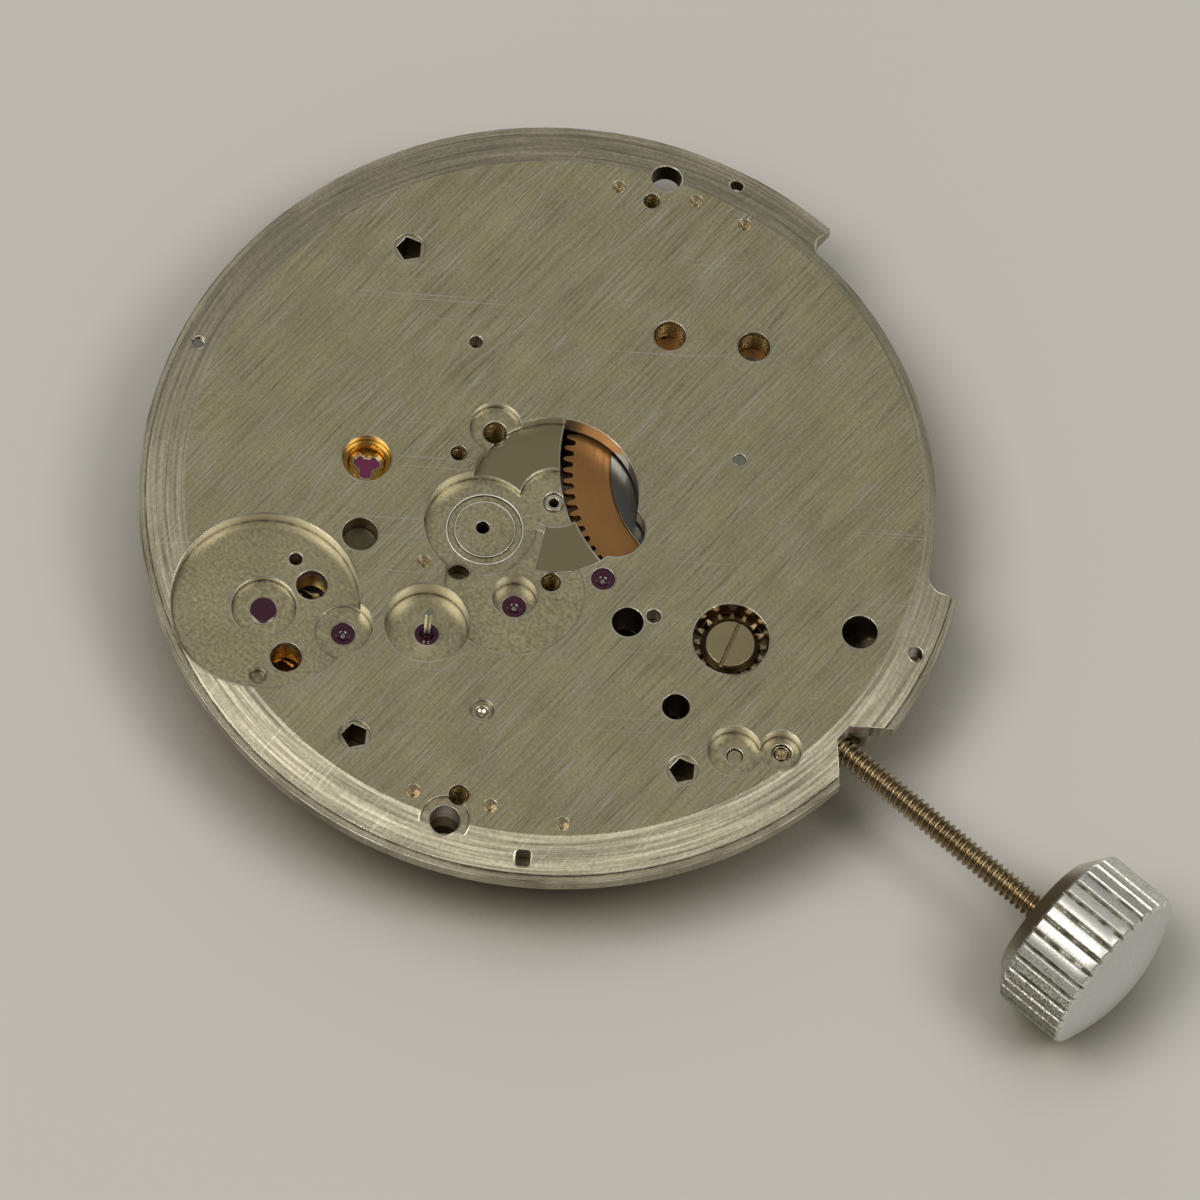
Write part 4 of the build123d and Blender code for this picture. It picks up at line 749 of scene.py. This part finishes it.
# Crown: ridges with keen grooves, cut to points by the chamfer on the stem's side
crownShape = {
    "start": 20.95,
    "length": 3.15,
    "radius": 2.90,
    "depth": 0.20, # of the grooves
    "ridges": 34,
    "perRidge": 20,
    "bore": 0.43,
    "tube": 1.30,
    "tubeBevel": (0.02, 0.06),
    "shoulder": (0.12, 2.12), # place along the crown, radius
    "shoulderBevel": (0.02, 0.10),
    "chamfer": 0.74,
    "lip": 0.16,
    "lipDrop": 0.03,
    "lipCurve": 1.7,
    "dome": 0.60,
    "domeStep": (0.005, 0.01),
    "rows": {"chamfer": 10, "side": 6, "lip": 5, "dome": 8},
    "grooveFloor": 0.05, # shares of half a ridge
    "grooveFlank": 0.30,
    "flankRise": 0.90,
    "flankCurve": 0.4,
    "topRise": 0.10,
}


def shares(count):
    return [k / count for k in range(1, count + 1)]


def crownRows(shape):
    # the outline from the bore to the middle of the dome: place along the crown, radius
    out, wide = shape["shoulder"]
    length, radius, count = shape["length"], shape["radius"], shape["rows"]
    tubeOut, tubeIn = shape["tubeBevel"]
    shoulderOut, shoulderIn = shape["shoulderBevel"]
    rows = [(0.0, shape["bore"]), (0.0, shape["tube"] - tubeIn), (tubeOut, shape["tube"]),
            (out - shoulderOut, wide - shoulderIn), (out, wide)]
    for share in shares(count["chamfer"]):
        rows.append((out + (shape["chamfer"] - out) * share, wide + (radius - wide) * share))
    side = length - shape["lip"] - shape["chamfer"]
    for share in shares(count["side"]):
        rows.append((shape["chamfer"] + side * share, radius))
    for share in shares(count["lip"]):
        fall = (shape["depth"] + shape["lipDrop"]) * share ** shape["lipCurve"]
        rows.append((length - shape["lip"] * (1 - share), radius - fall))
    rim = radius - shape["depth"] - shape["lipDrop"]
    ball = (rim ** 2 + shape["dome"] ** 2) / (2 * shape["dome"]) # the dome's own radius
    rows.append((length + shape["domeStep"][0], rim - shape["domeStep"][1]))
    for share in shares(count["dome"]):
        reach = rim * (1 - share)
        rows.append((length + shape["dome"] - ball + math.sqrt(ball ** 2 - reach ** 2), reach))
    return rows


def makeCrown(shape):
    around = shape["ridges"] * shape["perRidge"]
    root = shape["radius"] - shape["depth"]
    curve = shape["flankCurve"]
    rows = crownRows(shape)
    points = []
    for x, radius in rows:
        for k in range(around):
            share = abs((k / shape["perRidge"]) % 1.0 - 0.5) * 2 # 1 at the ridge's top, 0 in the groove
            rise = min(1.0, max(0.0, (share - shape["grooveFloor"]) / shape["grooveFlank"]))
            ridge = shape["flankRise"] * rise * (1 + curve - curve * rise)
            ridge += shape["topRise"] * (1 - (1 - share) ** 2)
            reach = min(radius, root + shape["depth"] * ridge)
            points.append(onStem(shape["start"] + x, reach, angleOf(k, around)))
    surface = points, rowFaces(len(rows), around)
    return pieceFrom("flutedCrown", [surface], "chrome", "winding_stem", "crown")


makeCrown(crownShape)
print("crown fluted")

# Burnished edges, laid over the sharp convex edges of a plate or bridge
plateEdges = {"side": 1, "width": 0.05, "proud": 0.006}
bridgeEdges = {"side": -1, "width": 0.09, "proud": 0.007}
edgeTest = {"sharp": 0.6, "level": 0.7, "upright": 0.3} # an angle, and upright shares of the normals


def edgeStrip(width, proud):
    # from the top over the edge and down the wall: (outwards, upwards)
    return ((-width, proud * 0.3), (-width * 0.45, proud), (proud * 0.7, proud * 0.4), (proud, -width * 0.45),
            (proud * 0.3, -width))


def makeEdges(shape, node):
    work = bmesh.new()
    work.from_mesh(nodes[node].data)
    bmesh.ops.remove_doubles(work, verts=work.verts, dist=mergeDistance)
    rises, sides, rims = {}, {}, []
    for edge in work.edges:
        if len(edge.link_faces) != 2 or edge.calc_face_angle_signed(0.0) < edgeTest["sharp"]:
            continue
        top, wall = sorted(edge.link_faces, key=lambda face: -face.normal.z * shape["side"])
        if top.normal.z * shape["side"] < edgeTest["level"] or abs(wall.normal.z) > edgeTest["upright"]:
            continue
        rims.append(edge)
        for vertex in edge.verts:
            rises[vertex.index] = rises.get(vertex.index, Vector()) + top.normal
            sides[vertex.index] = sides.get(vertex.index, Vector()) + wall.normal
    strip = edgeStrip(shape["width"] * mm, shape["proud"] * mm)
    points, faces, first = [], [], {}
    for vertex in work.verts:
        if vertex.index not in rises:
            continue
        rise = rises[vertex.index].normalized()
        side = sides[vertex.index].normalized()
        first[vertex.index] = len(points)
        points += [tuple(vertex.co + side * along + rise * lift) for along, lift in strip]
    for edge in rims:
        a, b = (first[vertex.index] for vertex in edge.verts)
        faces += [(a + k, a + k + 1, b + k + 1, b + k) for k in range(len(strip) - 1)]
    work.free()
    mesh = bpy.data.meshes.new(node + "Edges")
    mesh.from_pydata(points, [], faces)
    return newPiece(node + "Edges", cleanMesh(mesh), "burnish")


makeEdges(plateEdges, "main_plate")
for bridge in nodesWith["bridge"]:
    makeEdges(bridgeEdges, bridge)
print("edges burnished")

# Jewels: a chamfered rim, an oil cup and the pivot's bore. A seat is place, top, bore and radius
jewelShape = {"thickness": 0.35, "cup": 0.25, "cupDepth": 0.10, "chamfer": 0.03, "around": 48, "rows": 6}
plateJewels = [(secondAt, -0.03, 0.087, 0.39), (thirdAt, -0.66, 0.087, 0.39), (fourthAt, -0.80, 0.132, 0.39),
               (fifthAt, -0.60, 0.087, 0.39), (escapeAt, -1.015, 0.087, 0.42), (palletAt, -1.37, 0.087, 0.39)]
bridgeFace = -4.05
bridgeJewelTop = bridgeFace + 0.75
bridgeJewels = [(at, bridgeJewelTop, 0.087, 0.39) for at in (secondAt, thirdAt, fourthAt, fifthAt, escapeAt)]
bridgeJewels += [(palletAt, -2.81, 0.087, 0.35)]


def jewelProfile(shape, top, bore, radius, side):
    low = top - side * shape["thickness"]
    rows = [(radius, low), (radius, top - side * shape["chamfer"]), (radius - shape["chamfer"], top)]
    for k in range(shape["rows"] + 1):
        share = k / shape["rows"]
        reach = shape["cup"] + (bore - shape["cup"]) * share
        rows.append((reach, top - side * shape["cupDepth"] * math.sin(share * math.pi / 2)))
    return rows + [(bore, low)]


def makeJewels(shape, name, node, seats, side):
    stones = [lathePoints(jewelProfile(shape, top, bore, radius, side), shape["around"], at)
              for at, top, bore, radius in seats]
    return pieceFrom(name, stones, "ruby", instead=node)


makeJewels(jewelShape, "cuppedPlateJewels", "plate_jewels", plateJewels, 1)
makeJewels(jewelShape, "cuppedBridgeJewels", "bridge_jewels", bridgeJewels, -1)
print("jewels cupped")

# Two bright turned edges round the minute wheel's seat: radius and half width of each
seatShape = {"at": (-1.033, -2.2275), "edges": ((1.24, 0.032), (0.98, 0.022)), "floor": -0.65, "proud": 0.012,
             "sunk": 0.004, "around": 128}


def makeSeatRings(shape):
    rings = []
    foot = shape["floor"] - shape["sunk"]
    shoulder = shape["floor"] + shape["proud"] * 0.75
    crest = shape["floor"] + shape["proud"]
    for radius, half in shape["edges"]:
        profile = [(radius - half, foot), (radius - half * 0.5, shoulder), (radius, crest),
                   (radius + half * 0.5, shoulder), (radius + half, foot)]
        rings.append(lathePoints(profile, shape["around"], shape["at"]))
    return pieceFrom("seatRings", rings, "seat")


makeSeatRings(seatShape)
print("seat ringed")

# Ends of the yoke's pin and of the lever's screw, the latter a gilt boss with turned steps (radius, height)
yokePost = {"at": yokeAt, "name": "yokePost", "node": "yoke_pin", "finish": "post",
            "steps": [(0.0, -0.555), (0.225, -0.555), (0.24, -0.57), (0.24, -0.80), (0.27, -0.82),
                      (0.27, -2.26), (0.0, -2.26)]}
leverPost = {"at": leverAt, "name": "leverPost", "node": "setting_lever_screw", "finish": "giltPost",
             "steps": [(0.0, -0.64), (0.08, -0.63), (0.11, -0.565), (0.185, -0.562), (0.20, -0.66),
                       (0.235, -0.66), (0.25, -0.565), (0.295, -0.562), (0.33, -0.62), (0.33, -2.05),
                       (0.56, -2.05), (0.56, -2.26), (0.53, -2.29), (0.0, -2.29)]}


def makePost(shape):
    post = lathePoints(shape["steps"], turnedSteps, shape["at"])
    return pieceFrom(shape["name"], [post], shape["finish"], instead=shape["node"])


makePost(yokePost)
makePost(leverPost)
print("posts turned")

# Barrel: round-tipped teeth with deep gaps. A tooth is shares of the pitch and radii
barrelShape = {
    "teeth": 88,
    "tooth": [(-0.5, 5.39), (-0.37, 5.39), (-0.30, 5.41), (-0.25, 5.50), (-0.215, 5.59), (-0.16, 5.665),
              (-0.08, 5.705), (0.0, 5.714), (0.08, 5.705), (0.16, 5.665), (0.215, 5.59), (0.25, 5.50),
              (0.30, 5.41), (0.37, 5.39)],
    "bevel": 0.012,
    "inner": 4.167,
    "top": -1.095,
    "low": -1.345,
    "drum": 5.217,
    "wall": 4.867,
    "floor": -1.975,
    "bottom": -2.175,
    "corner": 0.04,
    "hole": 0.63,
    "around": 160,
}


def makeBarrel(shape):
    points = []
    inner, top, low, bevel = (shape[name] for name in ("inner", "top", "low", "bevel"))
    columns = [(tooth + share, radius) for tooth in range(shape["teeth"]) for share, radius in shape["tooth"]]
    for place, radius in columns:
        outline = [(inner, top), (radius - bevel, top), (radius, top - bevel), (radius, low), (inner, low)]
        turn = angleOf(place, shape["teeth"])
        points += [onCircle(barrelAt, reach, turn, height) for reach, height in outline]
    drum, wall, floor, bottom, corner, hole = (shape[name] for name in
                                               ("drum", "wall", "floor", "bottom", "corner", "hole"))
    cup = [(wall, low), (drum, low), (drum, bottom + corner), (drum - corner, bottom), (hole, bottom),
           (hole, floor), (wall, floor)]
    rim = points, loopFaces(len(columns), len(outline))
    shapes = [rim, lathePoints(cup, shape["around"], barrelAt)]
    return pieceFrom("toothedBarrel", shapes, "copper", "barrel", "barrel_drum")


makeBarrel(barrelShape)
print("barrel toothed")

# Shock setting's spring: a flat ring whose opening is a trefoil, and the seat that shows as a rim inside it
springShape = {
    "radius": 0.62,
    "top": -0.61,
    "thickness": 0.05,
    "middle": 0.24,
    "lobes": 3,
    "lobe": 0.19,
    "reach": 0.26,
    "turn": 65.0,
    "outerBevel": 0.015,
    "innerBevel": 0.012,
    "bevelDepth": 0.006,
    "seatRim": 0.065,
    "seatHeights": (0.014, 0.002), # above the spring's top
    "around": 144,
}


def trefoilReach(shape, turn):
    # how far the opening goes from the centre at an angle
    best = shape["middle"]
    for lobe in range(shape["lobes"]):
        away = turn - math.radians(shape["turn"] + lobe * 360 / shape["lobes"])
        across = shape["reach"] * math.sin(away)
        if abs(across) < shape["lobe"] and math.cos(away) > 0:
            best = max(best, shape["reach"] * math.cos(away) + math.sqrt(shape["lobe"] ** 2 - across ** 2))
    return best


def trefoilRing(shape, top, low, wider=0.0):
    points = []
    outer, slope = shape["radius"], top - shape["bevelDepth"]
    for k in range(shape["around"]):
        turn = angleOf(k, shape["around"])
        inner = trefoilReach(shape, turn) + wider
        outline = [(outer, low), (outer, slope), (outer - shape["outerBevel"], top),
                   (inner + shape["innerBevel"], top), (inner, slope), (inner, low)]
        points += [onCircle(balanceAt, reach, turn, height) for reach, height in outline]
    return points, loopFaces(shape["around"], len(outline))


def makeShockSetting(shape):
    top = shape["top"]
    spring = trefoilRing(shape, top, top - shape["thickness"])
    pieceFrom("shockSpring", [spring], "springSteel", instead="lower_shock_spring")
    seatTop, seatLow = (top + height for height in shape["seatHeights"])
    pieceFrom("shockSeat", [trefoilRing(shape, seatTop, seatLow, shape["seatRim"])], "giltBlock")


makeShockSetting(springShape)
print("shock spring laid")

# Screws with chamfered, slotted heads; each further one is told by how it differs. Feet are in degrees
screws = {"circle": 11.25, "cockFoot": (150, 176), "chamfer": 0.05,
          "bridgeFeet": ((119, 139), (9, 23), (-25, -17), (-63, -44), (-100, -84)),
          "slotLength": 2.4, "slotTurn": 47.0} # in radii of the head, and from each screw to the next


def footCentre(foot):
    middle = math.radians((foot[0] + foot[1]) / 2)
    return screws["circle"] * math.cos(middle), screws["circle"] * math.sin(middle)


settingScrew = {"at": [settingAt], "side": 1, "radius": 0.83, "face": -0.35, "under": -0.57, "shank": 0.30,
                "end": -1.72, "slot": 0.13, "slotDepth": 0.13, "turn": 109.0, "finish": "screw"}
bridgeScrew = {"at": [footCentre(foot) for foot in screws["bridgeFeet"]], "side": -1, "radius": 0.85,
               "face": restPlane, "under": bridgeFace, "shank": 0.42, "end": -1.20, "slot": 0.22,
               "slotDepth": 0.14, "turn": 20.0, "finish": "blued"}
palletScrew = dict(bridgeScrew, at=[(-8.0055, -8.60)], radius=0.52, face=-2.96, under=-2.80, shank=0.28,
                   slot=0.14, slotDepth=0.08, turn=130.0)
clickScrew = dict(bridgeScrew, at=[clickAt], side=1, radius=0.42, face=-2.47, under=-2.59, shank=0.24,
                  end=-3.93, slot=0.12, slotDepth=0.07)
screwShapes = {
    "setting_wheel_screw": settingScrew,
    "bridge_screws": bridgeScrew,
    "cock_screw": dict(bridgeScrew, at=[footCentre(screws["cockFoot"])], turn=75.0),
    "pallet_cock_screw": palletScrew,
    "click_screw": clickScrew,
    "crown_wheel_core": dict(clickScrew, at=[crownWheelAt], radius=1.0, shank=0.40, slot=0.24,
                             steps=[(0.60, -2.59), (0.60, -2.95), (0.40, -2.95)]),
}


def screwProfile(shape):
    radius, face, under, shank = (shape[name] for name in ("radius", "face", "under", "shank"))
    chamfer = screws["chamfer"]
    profile = [(0.0, face), (radius - chamfer, face), (radius, face - shape["side"] * chamfer),
               (radius, under)]
    profile += shape.get("steps", [(shank, under)])
    return profile + [(shank, shape["end"]), (0.0, shape["end"])]


def slotCutter(shape, name):
    # a box across each head
    cutter = bmesh.new()
    length, width, depth = screws["slotLength"] * shape["radius"], shape["slot"], 2 * shape["slotDepth"]
    size = Matrix.Diagonal((length * mm, width * mm, depth * mm, 1.0))
    for number, at in enumerate(shape["at"]):
        turn = Matrix.Rotation(math.radians(shape["turn"] + screws["slotTurn"] * number), 4, "Z")
        place = Matrix.Translation((at[0] * mm, at[1] * mm, shape["face"] * mm)) @ turn
        bmesh.ops.create_cube(cutter, size=1.0, matrix=place @ size)
    mesh = bpy.data.meshes.new(name)
    cutter.to_mesh(mesh)
    cutter.free()
    return addObject(name, mesh)


def makeScrews(node, shape):
    blanks = [lathePoints(screwProfile(shape), turnedSteps, at) for at in shape["at"]]
    piece = pieceFrom(node + "Slotted", blanks, shape["finish"])
    cutter = slotCutter(shape, node + "Cutter")
    boolean = piece.modifiers.new("slot", "BOOLEAN")
    boolean.object = cutter
    boolean.operation = "DIFFERENCE"
    bpy.context.view_layer.update()
    cut = bpy.data.meshes.new_from_object(piece.evaluated_get(bpy.context.evaluated_depsgraph_get()))
    piece.modifiers.clear()
    piece.data = cut
    smoothMesh(cut)
    bpy.data.objects.remove(cutter)
    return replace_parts(piece, node)


for node, shape in screwShapes.items():
    makeScrews(node, shape)
print("screws slotted")

# Threads in the tapped holes of the plate: place, radius, top, bottom
threadShape = {"pitch": 0.17, "depth": 0.05, "crest": 1.25, "gap": 0.004, "around": 30, "perTurn": 8}
tappedHoles = [((1.9575, -2.4165), 0.33, -0.05, -1.74), ((4.7115, -10.044), 0.33, -0.02, -1.74),
               ((-2.97, 0.4455), 0.39, -0.29, -1.74), ((-4.644, 10.125), 0.27, -0.02, -1.74),
               ((-3.2805, -0.999), 0.27, -0.02, -0.79), ((-0.9855, 6.831), 0.53, -0.06, -1.74),
               ((1.296, 8.397), 0.53, -0.06, -1.74)]


def threadLiner(shape, at, radius, top, low):
    around = shape["around"]
    rows = int((top - low) / shape["pitch"] * shape["perTurn"])
    points = []
    for row in range(rows + 1):
        height = top + (low - top) * row / rows
        fade = min(1.0, row / shape["perTurn"])
        for k in range(around):
            share = ((top - height) / shape["pitch"] + k / around) % 1.0
            crest = min(1.0, abs(2 * share - 1) * shape["crest"])
            reach = radius - shape["gap"] - shape["depth"] * crest * fade
            points.append(onCircle(at, reach, angleOf(k, around), height))
    return points, rowFaces(rows + 1, around)


def makeThreads(shape, holes):
    liners = [threadLiner(shape, *hole) for hole in holes]
    return pieceFrom("plateThreads", liners, "threadBrass")


makeThreads(threadShape, tappedHoles)
print("threads cut")

# Floors of the holes that end inside the plate, the plain ones dark with painted shade: place, radius,
# height, corners, depth of the drill's cone
floorThickness = 0.06
holeFloors = [((-3.726, -5.3325), 0.575, -0.74, 48, 0.0), ((-0.567, -4.0635), 0.39, -1.25, 48, 0.0),
              ((-9.3555, 3.456), 0.445, -1.35, 5, 0.0), ((0.864, -10.7595), 0.445, -1.35, 5, 0.0),
              ((9.4635, -4.536), 0.445, -1.35, 5, 0.0)]
drilledSeats = [((3.3075, -7.3305), 0.222, -0.16, 48, 0.20)]


def makeHoleFloors(name, finish, holes):
    floors = []
    for at, radius, height, corners, cone in holes:
        tip = height - cone
        profile = [(0.0, tip), (radius, height), (radius, tip - floorThickness), (0.0, tip - floorThickness)]
        floors.append(lathePoints(profile, corners, at))
    return pieceFrom(name, floors, finish)


makeHoleFloors("holeFloors", "shadedHoleFloor", holeFloors)
makeHoleFloors("drilledSeat", "drilled", drilledSeats)
print("hole floors laid")

# Studio: a pale floor with a painted contact shadow close to the movement, three soft lamps and dim
# surroundings
studio = {
    "floor": (0.645, 0.622, 0.572, 1),
    "floorSize": 0.9,
    "floorRough": 0.75,
    "cloudShade": 0.97,
    "world": (0.225, 0.22, 0.205, 1),
    "contact": 4.2,
    "contactShade": (0.80, 0.42),
    "contactTint": (0.20, 0.175, 0.115, 1),
}
lampAway = 0.60
lamps = [
    {"name": "left", "power": 1.46, "size": 0.30, "lean": 25.0, "turn": 290.0, "colour": (1.0, 0.985, 0.95)},
    {"name": "right", "power": 0.90, "size": 0.24, "lean": 30.0, "turn": 75.0, "colour": (1.0, 0.99, 0.965)},
    {"name": "back", "power": 0.14, "size": 0.30, "lean": 50.0, "turn": 180.0, "colour": (1.0, 0.99, 0.97)},
]
camera = {"elevation": 65.2, "azimuth": 34.9, "distance": 430.0, "roll": 7.0, "lens": 397.3,
          "shift": (0.0376, -0.0878), "clip": (0.01, 10.0)}


def makeFloor(shape):
    half = shape["floorSize"] / 2
    corners = [(x * half, y * half, restPlane * mm) for x, y in ((-1, -1), (1, -1), (1, 1), (-1, 1))]
    mesh = bpy.data.meshes.new("floor")
    mesh.from_pydata(corners, [], [(0, 1, 2, 3)])
    floor = addObject("floor", mesh)
    material, tree, shader = newMaterial("paleFloor", Roughness=shape["floorRough"])
    grain = useGroup(tree, fineGrain, {"Scale": 900.0})
    duller = tuple(c * shape["cloudShade"] for c in shape["floor"][:3]) + (1,)
    colour = mixColour(tree, grain["Clouds"], duller, shape["floor"])
    # painted contact shadow, from occlusion
    close = ramp(tree, occlusion(tree, shape["contact"] * mm), *shape["contactShade"])
    colour = mixColour(tree, close, colour, shape["contactTint"])
    tree.links.new(colour, shader.inputs["Base Color"])
    mesh.materials.append(material)


def makeLight():
    world = bpy.data.worlds.new("studio")
    world.use_nodes = True
    world.node_tree.nodes["Background"].inputs["Color"].default_value = studio["world"]
    bpy.context.scene.world = world
    for shape in lamps:
        lamp = bpy.data.lights.new(shape["name"], "AREA")
        lamp.energy = shape["power"]
        lamp.size = shape["size"]
        lamp.color = shape["colour"]
        lampObject = addObject(shape["name"], lamp)
        lean = math.radians(shape["lean"])
        turn = math.radians(camera["azimuth"] + shape["turn"]) # turned from the camera's side
        up = Vector((math.sin(turn) * math.sin(lean), -math.cos(turn) * math.sin(lean), math.cos(lean)))
        lampObject.location = up * lampAway
        lampObject.rotation_euler = up.to_track_quat("Z", "Y").to_euler()


def makeCamera():
    turn, rise, roll = (math.radians(camera[k]) for k in ("azimuth", "elevation", "roll"))
    back = Vector((math.sin(turn) * math.cos(rise), -math.cos(turn) * math.cos(rise), math.sin(rise)))
    across = Vector((math.cos(turn), math.sin(turn), 0.0))
    above = back.cross(across)
    right = across * math.cos(roll) + above * math.sin(roll)
    up = above * math.cos(roll) - across * math.sin(roll)
    matrix = Matrix((right, up, back)).transposed().to_4x4()
    matrix.translation = back * camera["distance"] * mm
    data = bpy.data.cameras.new("camera")
    data.lens = camera["lens"]
    data.shift_x, data.shift_y = camera["shift"]
    data.clip_start, data.clip_end = camera["clip"]
    eye = addObject("camera", data)
    eye.matrix_world = matrix
    bpy.context.scene.camera = eye


makeFloor(studio)
makeLight()
makeCamera()
bpy.context.scene.view_settings.view_transform = "Standard"
print("studio ready")
